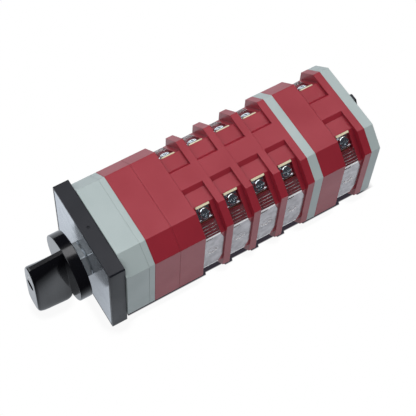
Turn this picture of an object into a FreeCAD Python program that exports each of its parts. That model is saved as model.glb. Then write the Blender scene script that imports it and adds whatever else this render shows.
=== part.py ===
import FreeCAD, Part
import math
import os
import Sketcher
from FreeCAD import Placement, Rotation, Vector

# Rotary cam switch with a 64 mm square front plate and five contact layers.
# The origin is on the shaft's axis at the front face of the grey housing, which is
# the seat on the panel. +Y runs along the shaft to the rear, the knob is at -Y,
# +Z is up. All lengths are in millimetres.

DIMENSIONS = {
    # Eight-sided body
    "body_half_width": "33.3",
    "corner_leg": "10.7",
    # Lengths of the pieces along the shaft
    "plate_depth": "9.5",
    "detent_housing_depth": "13.8",
    "detent_cover_depth": "3.7",
    "spacer_depth": "16",
    "layer_depth": "17.9",
    "divider_depth": "5.7",
    "rear_spacer_depth": "15.4",
    "rear_cover_depth": "6",
    # Front plate and its metal face
    "plate_width": "64",
    "plate_lip": "1.6",
    "plate_corner_radius": "1",
    "face_thickness": "1.2",
    "pip_radius": "0.8",
    "pip_depth": "0.6",
    "collar_flats": "20.6",
    "collar_turn": "24",
    "collar_foot_height": "0.6",
    "collar_foot_radius": "9.8",
    "collar_sleeve_radius": "8.5",
    # Knob
    "collar_height": "5",
    "knob_running_gap": "0.2",
    "disc_radius": "20.3",
    "disc_depth": "7.1",
    "disc_edge": "0.3",
    "handle_depth": "20.7",
    "handle_bottom": "29",
    "handle_tip_half_width": "1.2",
    "handle_nose_radius": "6.5",
    "handle_heel_radius": "3.5",
    # The handle's free end is widest near its top, its root on the disc is a plain wedge
    "end_top": "18.5",
    "end_shoulder_height": "7",
    "end_shoulder_half_width": "6.2",
    "end_shoulder_bend": "14",
    "end_bottom_radius": "5.8",
    "root_top": "20",
    "root_shoulder_height": "0",
    "root_shoulder_half_width": "4.9",
    "root_shoulder_bend": "200",
    "root_bottom_radius": "8",
    "pointer_width": "1.8",
    "pointer_length": "4.8",
    "pointer_inset": "7.4",
    "pointer_depth": "1.5",
    "knob_screw_head_radius": "3.4",
    "knob_screw_head_height": "2.4",
    "knob_screw_recess": "6.5",
    # Shaft
    "shaft_width": "8",
    "shaft_journal_radius": "6",
    "shaft_socket_depth": "6",
    "shaft_rear_journal_length": "4",
    "knob_screw_radius": "1.7",
    "knob_screw_length": "12",
    # Clearances
    "running_fit": "0.08",
    "slip_fit": "0.1",
    "screw_clearance": "0.15",
    "blind_hole_spare": "1",
    # Panel fixing screws under the metal face
    "panel_screw_spacing": "46",
    "panel_screw_radius": "2",
    "panel_screw_head_radius": "3.6",
    "panel_screw_head_height": "2.4",
    "panel_screw_engagement": "9",
    # Detent
    "detent_front_wall": "3.2",
    "star_gap": "1",
    "star_radius": "12",
    "star_width": "7",
    "star_notch_radius": "5.6",
    "star_notch_depth": "2.4",
    "star_cavity_radius": "14.5",
    "detent_plunger_gap": "0.35",
    "detent_plunger_length": "9.5",
    "detent_plunger_half_height": "3.6",
    "detent_plunger_width": "6.4",
    "detent_nose_radius": "2",
    "detent_side_wall": "4.3",
    "stop_finger_width": "5",
    "stop_finger_radius": "11.4",
    "stop_recess_depth": "2",
    "stop_clearance": "0.3",
    # Side recesses of a contact layer
    "recess_depth": "13.4",
    "strip_half_width": "6.2",
    "strip_step": "2.2",
    "side_step": "1.2",
    "corner_step": "4.88",
    # Cam chamber of a contact layer
    "cavity_radius": "13",
    "cavity_depth": "12.4",
    "cam_width": "7",
    "cam_radius": "11.5",
    "cam_travel": "1.8",
    "cam_hub_radius": "6.4",
    "hub_end_gap": "0.2",
    "cam_gap": "0.3",
    # Terminals
    "terminal_front": "1.5",
    "terminal_width": "9.1",
    "terminal_depth": "4.6",
    "terminal_length": "10.9",
    "strip_thickness": "1.2",
    "strip_width": "8.4",
    "tab_rise": "0.4",
    "clamp_length": "8.6",
    "clamp_width": "8.7",
    "clamp_thickness": "1.2",
    "clamp_lip": "0.9",
    "terminal_screw_radius": "1.75",
    "terminal_screw_length": "5.6",
    "terminal_head_radius": "3.3",
    "terminal_head_height": "2.4",
    "terminal_slot_width": "0.9",
    "terminal_slot_depth": "1",
    # Contacts
    "chamber_depth": "9.5",
    "chamber_half_height": "15",
    "chamber_width": "8.9",
    "leg_end": "7.5",
    "tip_size": "3",
    "tip_thickness": "0.6",
    "closed_gap": "0.1",
    "bridge_thickness": "1",
    "bridge_width": "4.6",
    "bridge_half_length": "12",
    "plunger_half_height": "4.2",
    "plunger_width": "8",
    "plunger_nose_radius": "1",
    "plunger_nose_length": "3.4",
    "plunger_prong": "0.6",
    # Return springs
    "spring_radius": "1.7",
    "spring_wire": "0.6",
    "spring_turns": "3",
    "detent_spring_turns": "5",
    # Clear covers
    "cover_thickness": "1.2",
    "cover_front": "0.7",
    "cover_shoulder": "10.5",
    "cover_rear": "13",
    "cover_tongue_half_height": "10",
    "cover_rib_height": "0.5",
    "cover_rib_width": "0.8",
    "cover_boss_radius": "3.5",
    "cover_boss_height": "0.5",
    # Tie bolts
    "tie_inset": "7.1",
    "tie_radius": "2",
    "tie_head_radius": "3.8",
    "tie_head_height": "3",
    "nut_width": "8",
    "nut_turn": "30",
    "nut_height": "3.7",
    "bolt_end": "0.5",
}

FRONT_LAYERS = 4
RIBS_ON_COVER = 4
STAR_NOTCHES = 4
SPRING_SIDES = 8
NUT_SIDES = 6
CUT_PAST = 2

PLANES = {"XY": "XY_Plane", "XZ": "XZ_Plane", "YZ": "YZ_Plane"}
SHAFT_AXIS = "Y_Axis"


class Size:
    """A length that keeps its number and the sheet expression that gives it."""

    def __init__(self, number, text):
        self.number = number
        self.text = text

    def __add__(self, other):
        other = as_size(other)
        return Size(self.number + other.number, f"({self.text} + {other.text})")

    def __radd__(self, other):
        return as_size(other) + self

    def __sub__(self, other):
        other = as_size(other)
        return Size(self.number - other.number, f"({self.text} - {other.text})")

    def __rsub__(self, other):
        return as_size(other) - self

    def __mul__(self, other):
        other = as_size(other)
        return Size(self.number * other.number, f"({self.text} * {other.text})")

    def __rmul__(self, other):
        return as_size(other) * self

    def __truediv__(self, other):
        other = as_size(other)
        return Size(self.number / other.number, f"({self.text} / {other.text})")

    def __neg__(self):
        return as_size(0) - self


def hypotenuse(across, along):
    """The long side over two lengths at a right angle."""
    squared = across * across + along * along
    return Size(math.sqrt(squared.number), f"sqrt({squared.text})")


def as_size(value):
    """Take a Size as it is and turn a plain number into one."""
    if isinstance(value, Size):
        return value
    return Size(float(value), repr(value))


class Sheet:
    """The spreadsheet of driving dimensions, each read as an attribute."""

    def __init__(self, document):
        self.cells = document.addObject("Spreadsheet::Sheet", "Sizes")
        for row, (alias, number) in enumerate(DIMENSIONS.items(), start=1):
            self.cells.set(f"A{row}", alias)
            self.cells.set(f"B{row}", number)
            self.cells.setAlias(f"B{row}", alias)
        document.recompute()

    def __getattr__(self, alias):
        return Size(float(self.cells.get(alias)), f"Sizes.{alias}")


doc = FreeCAD.newDocument("RotaryCamSwitch")
S = Sheet(doc)
ROOT_TWO = Size(math.sqrt(2), "sqrt(2)")
ROOT_THREE = Size(math.sqrt(3), "sqrt(3)")
nodes = []


# Helpers for bodies, sketches and features

def bind(item, target, length):
    """Tie one property or constraint to the sheet."""
    item.setExpression(target, as_size(length).text)


def node(item, label):
    """Name a finished piece and keep it for writing."""
    item.Label = label
    nodes.append(item)
    return item


def new_body(name, start=0):
    """An empty body whose own front lies at start along the shaft."""
    body = doc.addObject("PartDesign::Body", name)
    body.AllowCompound = True
    bind(body, "Placement.Base.y", start)
    return body


def origin_feature(body, role):
    """Find an origin plane or axis of the body by its role."""
    for feature in body.Origin.OriginFeatures:
        if feature.Role == role:
            return feature
    raise ValueError(role)


def arc_between(first, last, radius):
    """The arc that bulges to the left of the way from first to last.

    It runs anticlockwise, as a sketch keeps its arcs, so it starts at last.
    """
    chord = last - first
    half = chord.Length / 2
    sideways = Vector(chord.y, -chord.x, 0).normalize()
    to_centre = math.sqrt(max(radius * radius - half * half, 0))
    centre = first + chord * 0.5 + sideways * to_centre
    start, end = (math.atan2(point.y - centre.y, point.x - centre.x) for point in (last, first))
    if end < start:
        end += 2 * math.pi
    return Part.ArcOfCircle(Part.Circle(centre, Vector(0, 0, 1), radius), start, end)


def add_outline(sketch, corners):
    """Close the corners into one outline.

    A corner is (u, v), or (u, v, radius) when an arc leads to it from the corner before.
    """
    points = [Vector(as_size(c[0]).number, as_size(c[1]).number, 0) for c in corners]
    base = sketch.GeometryCount
    count = len(corners)
    edges = []
    for index in range(count):
        following = (index + 1) % count
        if len(corners[following]) == 3:
            radius = as_size(corners[following][2])
            sketch.addGeometry(arc_between(points[index], points[following], radius.number), False)
            edges.append((2, 1))
            number = sketch.addConstraint(Sketcher.Constraint(
                "Radius", base + index, radius.number))
            bind(sketch, f"Constraints[{number}]", radius)
        else:
            sketch.addGeometry(Part.LineSegment(points[index], points[following]), False)
            edges.append((1, 2))
    for index, corner in enumerate(corners):
        following = (index + 1) % count
        sketch.addConstraint(Sketcher.Constraint(
            "Coincident", base + index, edges[index][1], base + following, edges[following][0]))
        for kind, length in (("DistanceX", corner[0]), ("DistanceY", corner[1])):
            number = sketch.addConstraint(Sketcher.Constraint(
                kind, base + index, edges[index][0], as_size(length).number))
            bind(sketch, f"Constraints[{number}]", length)


def add_circle(sketch, u, v, radius):
    """A circle held by its centre and radius."""
    numbers = [as_size(length).number for length in (u, v, radius)]
    index = sketch.addGeometry(
        Part.Circle(Vector(numbers[0], numbers[1], 0), Vector(0, 0, 1), numbers[2]), False)
    kinds = (("DistanceX", u), ("DistanceY", v))
    for kind, length in kinds:
        number = sketch.addConstraint(Sketcher.Constraint(
            kind, index, 3, as_size(length).number))
        bind(sketch, f"Constraints[{number}]", length)
    number = sketch.addConstraint(Sketcher.Constraint("Radius", index, numbers[2]))
    bind(sketch, f"Constraints[{number}]", radius)


def circle(u, v, radius):
    """A loop that is a circle."""
    return {"circle": (u, v, radius)}


def add_loops(sketch, loops):
    for loop in loops:
        if isinstance(loop, dict):
            add_circle(sketch, *loop["circle"])
        else:
            add_outline(sketch, loop)


def add_sketch(body, plane, loops, start=0):
    """A sketch of closed loops on the body's own plane, moved to start along +X, +Y or +Z."""
    sketch = body.newObject("Sketcher::SketchObject", body.Name + "_sketch")
    sketch.AttachmentSupport = [(origin_feature(body, PLANES[plane]), "")]
    sketch.MapMode = "FlatFace"
    along_normal = -as_size(start) if plane == "XZ" else as_size(start)
    bind(sketch, "AttachmentOffset.Base.z", along_normal)
    add_loops(sketch, loops)
    return sketch


def pad(body, plane, loops, start, length):
    """Add material from start towards +X, +Y or +Z."""
    feature = body.newObject("PartDesign::Pad", body.Name + "_pad")
    feature.Profile = add_sketch(body, plane, loops, start)
    bind(feature, "Length", length)
    feature.Reversed = plane == "XZ"
    body.Tip = feature
    return feature


def pocket(body, plane, loops, start, length):
    """Take material away from start towards +X, +Y or +Z."""
    feature = body.newObject("PartDesign::Pocket", body.Name + "_pocket")
    feature.Profile = add_sketch(body, plane, loops, start)
    bind(feature, "Length", length)
    feature.Reversed = plane != "XZ"
    body.Tip = feature
    return feature


def add_corner_sketch(body, loops, outward):
    """A sketch parallel to the upper right 45 degree side, at a distance from the axis."""
    sketch = body.newObject("Sketcher::SketchObject", body.Name + "_corner_sketch")
    sketch.AttachmentSupport = [(origin_feature(body, PLANES["XY"]), "")]
    sketch.MapMode = "FlatFace"
    sketch.AttachmentOffset = Placement(Vector(0, 0, 0), Rotation(Vector(0, 1, 0), 45))
    bind(sketch, "AttachmentOffset.Base.x", outward / ROOT_TWO)
    bind(sketch, "AttachmentOffset.Base.z", outward / ROOT_TWO)
    add_loops(sketch, loops)
    return sketch


def corner_pad(body, loops, outward, length):
    """Add material outward from a plane parallel to the 45 degree side."""
    feature = body.newObject("PartDesign::Pad", body.Name + "_pad")
    feature.Profile = add_corner_sketch(body, loops, outward)
    bind(feature, "Length", length)
    body.Tip = feature
    return feature


def corner_pocket(body, loops, outward, length):
    """Take material away outward from a plane parallel to the 45 degree side."""
    feature = body.newObject("PartDesign::Pocket", body.Name + "_pocket")
    feature.Profile = add_corner_sketch(body, loops, outward)
    feature.Reversed = True
    bind(feature, "Length", length)
    body.Tip = feature
    return feature


def turned(body, corners):
    """Turn an outline of (y, radius) corners about the shaft's axis."""
    feature = body.newObject("PartDesign::Revolution", body.Name + "_turned")
    feature.Profile = add_sketch(body, "YZ", [corners])
    feature.ReferenceAxis = (origin_feature(body, SHAFT_AXIS), [""])
    feature.Angle = 360
    body.Tip = feature
    return feature


def mirror(source, normal, name):
    """A mirrored copy about a plane through the shaft's axis."""
    copy = doc.addObject("Part::Mirroring", name)
    copy.Source = source
    copy.Normal = normal
    return copy


def together(parts, name):
    """Separate solids that share one node."""
    group = doc.addObject("Part::Compound", name)
    group.Links = parts
    return group


def left_and_right(source, name):
    """A piece on the right and its mirror image on the left."""
    return together([source, mirror(source, Vector(1, 0, 0), name + "_other_side")], name)


def four_corners(source, name):
    """A piece at the upper right corner and its images at the other three."""
    upper = left_and_right(source, name + "_upper")
    return together([upper, mirror(upper, Vector(0, 0, 1), name + "_lower")], name)


# Outlines

def four_fold(quarter):
    """Close the corners of the upper right quarter, top to side, into a whole outline."""
    lower_right = [(u, -v) for u, v in reversed(quarter)]
    lower_left = [(-u, -v) for u, v in quarter]
    upper_left = [(-u, v) for u, v in reversed(quarter)]
    return quarter + lower_right + lower_left + upper_left


def rectangle(left, right, bottom, top):
    return [(left, top), (right, top), (right, bottom), (left, bottom)]


def rounded_square(half, radius):
    """A square of half width half whose corners are arcs."""
    inner = half - radius
    return [
        (-inner, half, radius), (inner, half),
        (half, inner, radius), (half, -inner),
        (inner, -half, radius), (-inner, -half),
        (-half, -inner, radius), (-half, inner),
    ]


def diagonal(along, outward):
    """A point given along and outward from the upper right 45 degree side."""
    return (outward + along) / ROOT_TWO, (outward - along) / ROOT_TWO


def octagon():
    half = S.body_half_width
    return four_fold([(half - S.corner_leg, half), (half, half - S.corner_leg)])


floor_z = S.body_half_width - S.strip_step
side_x = S.body_half_width - S.side_step
slope_distance = (2 * S.body_half_width - S.corner_leg) / ROOT_TWO - S.corner_step
slope_sum = slope_distance * ROOT_TWO
side_corner_z = slope_sum - side_x
cover_inner_x = side_x - S.cover_thickness
cover_inner_z = (slope_distance - S.cover_thickness) * ROOT_TWO - cover_inner_x
terminal_start = (slope_sum - 2 * floor_z) / ROOT_TWO
terminal_end = terminal_start + S.terminal_length
terminal_floor = slope_distance - S.terminal_depth
terminal_middle = S.terminal_front + S.terminal_width / 2
chamber_inner = cover_inner_x - S.chamber_depth
chamber_front = terminal_middle - S.chamber_width / 2
tie_offset = S.body_half_width - S.tie_inset
detent_channel_end = S.body_half_width - S.detent_side_wall
screw_along = terminal_start + S.terminal_length / 2
hub_bore = S.cam_hub_radius + S.running_fit
tie_bore = S.tie_radius + S.screw_clearance

# Places along the shaft
detent_cover_start = S.detent_housing_depth
spacer_starts = [detent_cover_start + S.detent_cover_depth + S.spacer_depth * i for i in range(2)]
first_layer = spacer_starts[1] + S.spacer_depth
divider_start = first_layer + S.layer_depth * FRONT_LAYERS
rear_spacer_start = divider_start + S.divider_depth
last_layer = rear_spacer_start + S.rear_spacer_depth
rear_cover_start = last_layer + S.layer_depth
rear_face = rear_cover_start + S.rear_cover_depth
collar_front = -S.plate_depth - S.collar_height
disc_rear = collar_front - S.knob_running_gap
handle_end = disc_rear - S.disc_depth - S.handle_depth
layer_starts = [first_layer + S.layer_depth * i for i in range(FRONT_LAYERS)] + [last_layer]


def tie_holes(radius):
    return [circle(0, side * tie_offset, radius) for side in (1, -1)]


def recess_outline():
    """Section of a contact layer in front of its rear rib."""
    return four_fold([
        (S.strip_half_width, S.body_half_width),
        (S.strip_half_width + S.strip_step, floor_z),
        (slope_sum - floor_z, floor_z),
        (side_x, side_corner_z),
    ])


def cover_side(outward):
    """Right half of the cover's path at a distance outward of its outer face."""
    reach = slope_distance + outward
    x = side_x + outward
    return [diagonal(terminal_end, reach), (x, reach * ROOT_TWO - x)]


# Body pieces

def make_front_plate():
    half = S.plate_width / 2
    body = new_body("front_plate", -S.plate_depth)
    pad(body, "XZ", [rounded_square(half, S.plate_corner_radius)], 0, S.plate_depth)
    inner = half - S.plate_lip
    pocket(body, "XZ", [rectangle(-inner, inner, -inner, inner)], 0, S.face_thickness)
    pocket(body, "XZ", [circle(0, 0, S.collar_sleeve_radius + S.slip_fit)], 0, S.plate_depth)
    place = S.panel_screw_spacing / 2
    corners = [(a * place, b * place) for a in (1, -1) for b in (1, -1)]
    heads = [circle(u, v, S.panel_screw_head_radius + S.screw_clearance) for u, v in corners]
    shanks = [circle(u, v, S.panel_screw_radius + S.screw_clearance) for u, v in corners]
    pocket(body, "XZ", heads, S.face_thickness, S.panel_screw_head_height + S.slip_fit)
    pocket(body, "XZ", shanks, 0, S.plate_depth)
    pocket(body, "XY", [circle(0, S.plate_depth / 2, S.pip_radius)],
           half - S.pip_depth, S.pip_depth + CUT_PAST)
    node(body, "front_plate")


def make_face_plate():
    half = S.plate_width / 2 - S.plate_lip - S.slip_fit
    body = new_body("face_plate", -S.plate_depth)
    hole = circle(0, 0, S.collar_sleeve_radius + S.slip_fit)
    pad(body, "XZ", [rectangle(-half, half, -half, half), hole], 0, S.face_thickness)
    node(body, "face_plate")


def compass(reach, angle):
    """The point at a distance from the middle, at degrees from the top towards the right."""
    turn = math.radians(angle.number)
    across = Size(math.sin(turn), f"sin({angle.text} * 1 deg)")
    upward = Size(math.cos(turn), f"cos({angle.text} * 1 deg)")
    return reach * across, reach * upward


def hexagon(across_flats, turn, v=0):
    """A nut's six sides about a point of the upright middle line, turned from upright."""
    corners = [compass(across_flats / ROOT_THREE, turn + 360 / NUT_SIDES * index)
               for index in range(NUT_SIDES)]
    return [(across, upward + v) for across, upward in corners]


def make_collar():
    """Nut whose round foot stands on the metal face, with its sleeve through the plate."""
    body = new_body("threaded_collar", collar_front)
    nut_end = S.collar_height - S.collar_foot_height
    pad(body, "XZ", [hexagon(S.collar_flats, S.collar_turn)], 0, nut_end)
    pad(body, "XZ", [circle(0, 0, S.collar_foot_radius)], nut_end, S.collar_foot_height)
    pad(body, "XZ", [circle(0, 0, S.collar_sleeve_radius)], S.collar_height, S.plate_depth)
    bore = circle(0, 0, S.shaft_journal_radius + S.running_fit)
    pocket(body, "XZ", [bore], 0, S.collar_height + S.plate_depth)
    node(body, "threaded_collar")


def make_panel_screws():
    screws = new_body("panel_screw", S.face_thickness - S.plate_depth)
    place = S.panel_screw_spacing / 2
    length = S.plate_depth - S.face_thickness + S.panel_screw_engagement
    pad(screws, "XZ", [circle(place, place, S.panel_screw_head_radius)],
        S.slip_fit, S.panel_screw_head_height)
    pad(screws, "XZ", [circle(place, place, S.panel_screw_radius)],
        S.panel_screw_head_height, length - S.panel_screw_head_height)
    node(four_corners(screws, "panel_screw_group"), "panel_screws")


def make_detent_housing():
    body = new_body("detent_housing")
    pad(body, "XZ", [octagon()], 0, S.detent_housing_depth)
    inside = S.detent_housing_depth - S.detent_front_wall
    pocket(body, "XZ", [circle(0, 0, S.star_cavity_radius)], S.detent_front_wall, inside)
    half = S.detent_plunger_half_height + S.slip_fit
    channel = rectangle(-detent_channel_end, detent_channel_end, -half, half)
    pocket(body, "XZ", [channel], S.detent_front_wall, inside)
    pocket(body, "XZ", [circle(0, 0, S.shaft_journal_radius + S.running_fit)], 0, S.detent_front_wall)
    place = S.panel_screw_spacing / 2
    holes = [circle(a * place, b * place, S.panel_screw_radius + S.slip_fit)
             for a in (1, -1) for b in (1, -1)]
    pocket(body, "XZ", holes, 0, S.panel_screw_engagement + S.blind_hole_spare)
    pocket(body, "XZ", tie_holes(tie_bore), 0, S.detent_housing_depth)
    pocket(body, "XZ", tie_holes(S.tie_head_radius + S.screw_clearance), 0,
           S.tie_head_height + S.slip_fit)
    node(body, "detent_housing")


def finger_outline(radius, spread):
    """A finger below the axis, wider by spread on each side."""
    half = S.stop_finger_width / 2 + spread
    return rectangle(-half, half, -radius, 0)


def make_detent_cover():
    body = new_body("detent_cover", detent_cover_start)
    pad(body, "XZ", [octagon()], 0, S.detent_cover_depth)
    pocket(body, "XZ", [circle(0, 0, S.cam_hub_radius + S.running_fit)], 0, S.detent_cover_depth)
    # The stop finger turns in a quarter ring between its two end walls.
    outer = S.stop_finger_radius + S.stop_clearance
    half = S.stop_finger_width / 2 + S.stop_clearance
    sweep = [
        (-outer, half),
        (half, half),
        (half, -outer),
        (-half, -outer),
        (-outer, -half, hypotenuse(outer, half)),
    ]
    pocket(body, "XZ", [sweep], 0, S.stop_recess_depth)
    pocket(body, "XZ", tie_holes(tie_bore), 0, S.detent_cover_depth)
    node(body, "detent_cover")


def make_star_wheel():
    body = new_body("star_wheel", S.detent_front_wall + S.star_gap)
    pad(body, "XZ", [circle(0, 0, S.star_radius)], 0, S.star_width)
    centre = S.star_radius - S.star_notch_depth + S.star_notch_radius
    notch = pocket(body, "XZ", [circle(centre, 0, S.star_notch_radius)], 0, S.star_width)
    pattern = body.newObject("PartDesign::PolarPattern", "star_notches")
    pattern.Originals = [notch]
    pattern.Axis = (origin_feature(body, SHAFT_AXIS), [""])
    pattern.Angle = 360
    pattern.Occurrences = STAR_NOTCHES
    body.Tip = pattern
    to_recess = S.detent_housing_depth - S.detent_front_wall - S.star_gap
    reach = to_recess + S.stop_recess_depth - S.hub_end_gap
    pad(body, "XZ", [circle(0, 0, S.cam_hub_radius)], S.star_width, reach - S.star_width)
    pad(body, "XZ", [finger_outline(S.stop_finger_radius, 0)],
        to_recess + S.hub_end_gap, reach - to_recess - S.hub_end_gap)
    pocket(body, "XZ", [square(S.slip_fit)], 0, reach)
    node(body, "star_wheel")


def square(clearance):
    """The shaft's square section, larger by a clearance on each side."""
    half = S.shaft_width / 2 + clearance
    return rectangle(-half, half, -half, half)


def make_spacer(label, start, depth):
    body = new_body(label, start)
    pad(body, "XZ", [octagon()], 0, depth)
    pocket(body, "XZ", [circle(0, 0, hub_bore)], 0, depth)
    pocket(body, "XZ", tie_holes(tie_bore), 0, depth)
    node(body, label)


def make_rear_cover():
    body = new_body("rear_cover", rear_cover_start)
    pad(body, "XZ", [octagon()], 0, S.rear_cover_depth)
    pocket(body, "XZ", [circle(0, 0, S.shaft_journal_radius + S.running_fit)], 0,
           S.shaft_rear_journal_length + S.slip_fit)
    pocket(body, "XZ", tie_holes(tie_bore), 0, S.rear_cover_depth)
    node(body, "rear_cover")


# Contact layers

def terminal_recess(side, level):
    """Outline of one terminal recess at a corner given by its two signs."""
    past = slope_distance + CUT_PAST
    corners = [diagonal(terminal_start, terminal_floor), diagonal(terminal_start, past),
               diagonal(terminal_end, past), diagonal(terminal_end, terminal_floor)]
    return [(side * u, level * v) for u, v in corners]


def leg_slot(side, level):
    """Way of a fixed contact's leg from the terminal recess to the contact chamber."""
    outer = chamber_inner + S.strip_thickness + 2 * S.slip_fit
    top = terminal_floor * ROOT_TWO - chamber_inner + S.slip_fit
    corners = rectangle(chamber_inner, outer, S.chamber_half_height - S.slip_fit, top)
    return [(side * u, level * v) for u, v in corners]


def cover_seat(side):
    """What the clear cover fills, and the air outside it."""
    inner = cover_side(-S.cover_thickness)
    outer = cover_side(as_size(CUT_PAST))
    loop = inner + [(u, -v) for u, v in reversed(inner)]
    loop += [(u, -v) for u, v in outer] + list(reversed(outer))
    return [(side * u, v) for u, v in loop]


def make_contact_housing(number, start):
    body = new_body(f"contact_housing_{number}", start)
    pad(body, "XZ", [recess_outline()], 0, S.recess_depth)
    pad(body, "XZ", [octagon()], S.recess_depth, S.layer_depth - S.recess_depth)
    corners = [(side, level) for side in (1, -1) for level in (1, -1)]
    seat_front = S.cover_front - S.slip_fit
    seat_rear = S.cover_shoulder + S.slip_fit
    pocket(body, "XZ", [cover_seat(side) for side in (1, -1)], seat_front, seat_rear - seat_front)
    tongue_half = S.cover_tongue_half_height + S.slip_fit
    tongue = [
        (seat_rear, cover_inner_z + S.slip_fit),
        (S.cover_rear + S.slip_fit, tongue_half),
        (S.cover_rear + S.slip_fit, -tongue_half),
        (seat_rear, -cover_inner_z - S.slip_fit),
    ]
    tongue_depth = S.cover_thickness + CUT_PAST
    pocket(body, "YZ", [tongue], cover_inner_x, tongue_depth)
    pocket(body, "YZ", [tongue], -cover_inner_x - tongue_depth, tongue_depth)
    pocket(body, "XZ", [terminal_recess(*corner) for corner in corners],
           S.terminal_front, S.terminal_width)
    slot_front = terminal_middle - S.strip_width / 2 - S.slip_fit
    pocket(body, "XZ", [leg_slot(*corner) for corner in corners],
           slot_front, S.strip_width + 2 * S.slip_fit)
    chambers = [rectangle(side * chamber_inner, side * (cover_inner_x + CUT_PAST),
                          -S.chamber_half_height, S.chamber_half_height) for side in (1, -1)]
    pocket(body, "XZ", chambers, chamber_front, S.chamber_width)
    pocket(body, "XZ", [circle(0, 0, S.cavity_radius)], 0, S.cavity_depth)
    past_wall = chamber_inner + S.slip_fit
    channel_half = S.plunger_half_height + S.slip_fit
    channel = rectangle(-past_wall, past_wall, -channel_half, channel_half)
    pocket(body, "XZ", [channel], 0, chamber_front + S.chamber_width)
    pocket(body, "XZ", [circle(0, 0, hub_bore)], 0, S.layer_depth)
    pocket(body, "XZ", tie_holes(tie_bore), 0, S.layer_depth)
    add_screw_bores(body)
    node(body, f"contact_housing_{number}")


def add_screw_bores(body):
    """Bores for the four terminal screws, square to the 45 degree sides."""
    depth = S.terminal_screw_length + S.blind_hole_spare
    hole = circle(screw_along, terminal_middle, S.terminal_screw_radius + S.slip_fit)
    bore = corner_pocket(body, [hole], terminal_floor - depth, depth + CUT_PAST)
    mirrors = []
    for role in (PLANES["YZ"], PLANES["XY"]):
        step = body.newObject("PartDesign::Mirrored", body.Name + "_mirrored")
        step.MirrorPlane = (origin_feature(body, role), [""])
        mirrors.append(step)
    pattern = body.newObject("PartDesign::MultiTransform", body.Name + "_bores")
    pattern.Originals = [bore]
    pattern.Transformations = mirrors
    body.Tip = pattern


def make_fixed_contact(number, start):
    """Brass strip from the terminal screw down to a silver tip in the chamber."""
    body = new_body(f"fixed_contact_{number}", start)
    inner = chamber_inner + S.slip_fit
    outer = inner + S.strip_thickness
    top = terminal_floor + S.strip_thickness
    first = terminal_start + S.slip_fit
    tab_end = slope_distance + S.tab_rise
    outline = [
        diagonal(first, terminal_floor),
        diagonal(first, tab_end),
        diagonal(first + S.strip_thickness, tab_end),
        diagonal(first + S.strip_thickness, top),
        (outer, top * ROOT_TWO - outer),
        (outer, S.leg_end),
        (inner, S.leg_end),
        (inner, terminal_floor * ROOT_TWO - inner),
    ]
    pad(body, "XZ", [outline], terminal_middle - S.strip_width / 2, S.strip_width)
    tip = rectangle(outer, outer + S.tip_thickness, S.leg_end, S.leg_end + S.tip_size)
    pad(body, "XZ", [tip], terminal_middle - S.tip_size / 2, S.tip_size)
    hole = circle(screw_along, terminal_middle, S.terminal_screw_radius + S.slip_fit)
    corner_pocket(body, [hole], terminal_floor - CUT_PAST, S.strip_thickness + 2 * CUT_PAST)
    return body


def make_wire_clamp(number, start):
    """Saddle plate under a terminal screw, with its outer end bent up."""
    body = new_body(f"wire_clamp_{number}", start)
    seat = terminal_floor + S.strip_thickness
    begin = terminal_start + S.slip_fit * 2 + S.strip_thickness
    end = begin + S.clamp_length
    low = terminal_middle - S.clamp_width / 2
    high = terminal_middle + S.clamp_width / 2
    hole = circle(screw_along, terminal_middle, S.terminal_screw_radius + S.screw_clearance)
    corner_pad(body, [rectangle(begin, end, low, high), hole], seat, S.clamp_thickness)
    lip = rectangle(end - S.clamp_thickness / 2, end, low, high)
    corner_pad(body, [lip], seat, S.clamp_thickness + S.clamp_lip)
    return body


def make_terminal_screw(number, start):
    body = new_body(f"terminal_screw_{number}", start)
    seat = terminal_floor + S.strip_thickness + S.clamp_thickness
    shank = circle(screw_along, terminal_middle, S.terminal_screw_radius)
    head = circle(screw_along, terminal_middle, S.terminal_head_radius)
    corner_pad(body, [shank], terminal_floor - S.terminal_screw_length,
               seat - terminal_floor + S.terminal_screw_length)
    corner_pad(body, [head], seat, S.terminal_head_height)
    reach = S.terminal_head_radius + CUT_PAST
    half = S.terminal_slot_width / 2
    slot = rectangle(screw_along - half, screw_along + half,
                     terminal_middle - reach, terminal_middle + reach)
    corner_pocket(body, [slot], seat + S.terminal_head_height - S.terminal_slot_depth,
                  S.terminal_slot_depth + CUT_PAST)
    return body


def make_terminals():
    kinds = (
        (make_fixed_contact, "fixed_contacts"),
        (make_wire_clamp, "wire_clamps"),
        (make_terminal_screw, "terminal_screws"),
    )
    for make, label in kinds:
        pieces = [make(number, start) for number, start in enumerate(layer_starts, start=1)]
        quarter = together(pieces, label + "_quarter")
        node(four_corners(quarter, label + "_group"), label)


def make_cam(number, start):
    """Two lobes facing the plungers; each quarter is an arc about a centre off the axis."""
    body = new_body(f"cam_{number}", start)
    cam_start = terminal_middle - S.cam_width / 2
    pad(body, "XZ", [circle(0, 0, S.cam_hub_radius)], S.hub_end_gap, S.layer_depth - 2 * S.hub_end_gap)
    high = S.cam_radius
    low = S.cam_radius - S.cam_travel
    bend = hypotenuse((high + low) / 2, (high - low) / 2)
    outline = [(high, 0, bend), (0, -low, bend), (-high, 0, bend), (0, low, bend)]
    pad(body, "XZ", [outline], cam_start, S.cam_width)
    pocket(body, "XZ", [square(S.slip_fit)], 0, S.layer_depth)
    node(body, f"cam_{number}")


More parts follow.
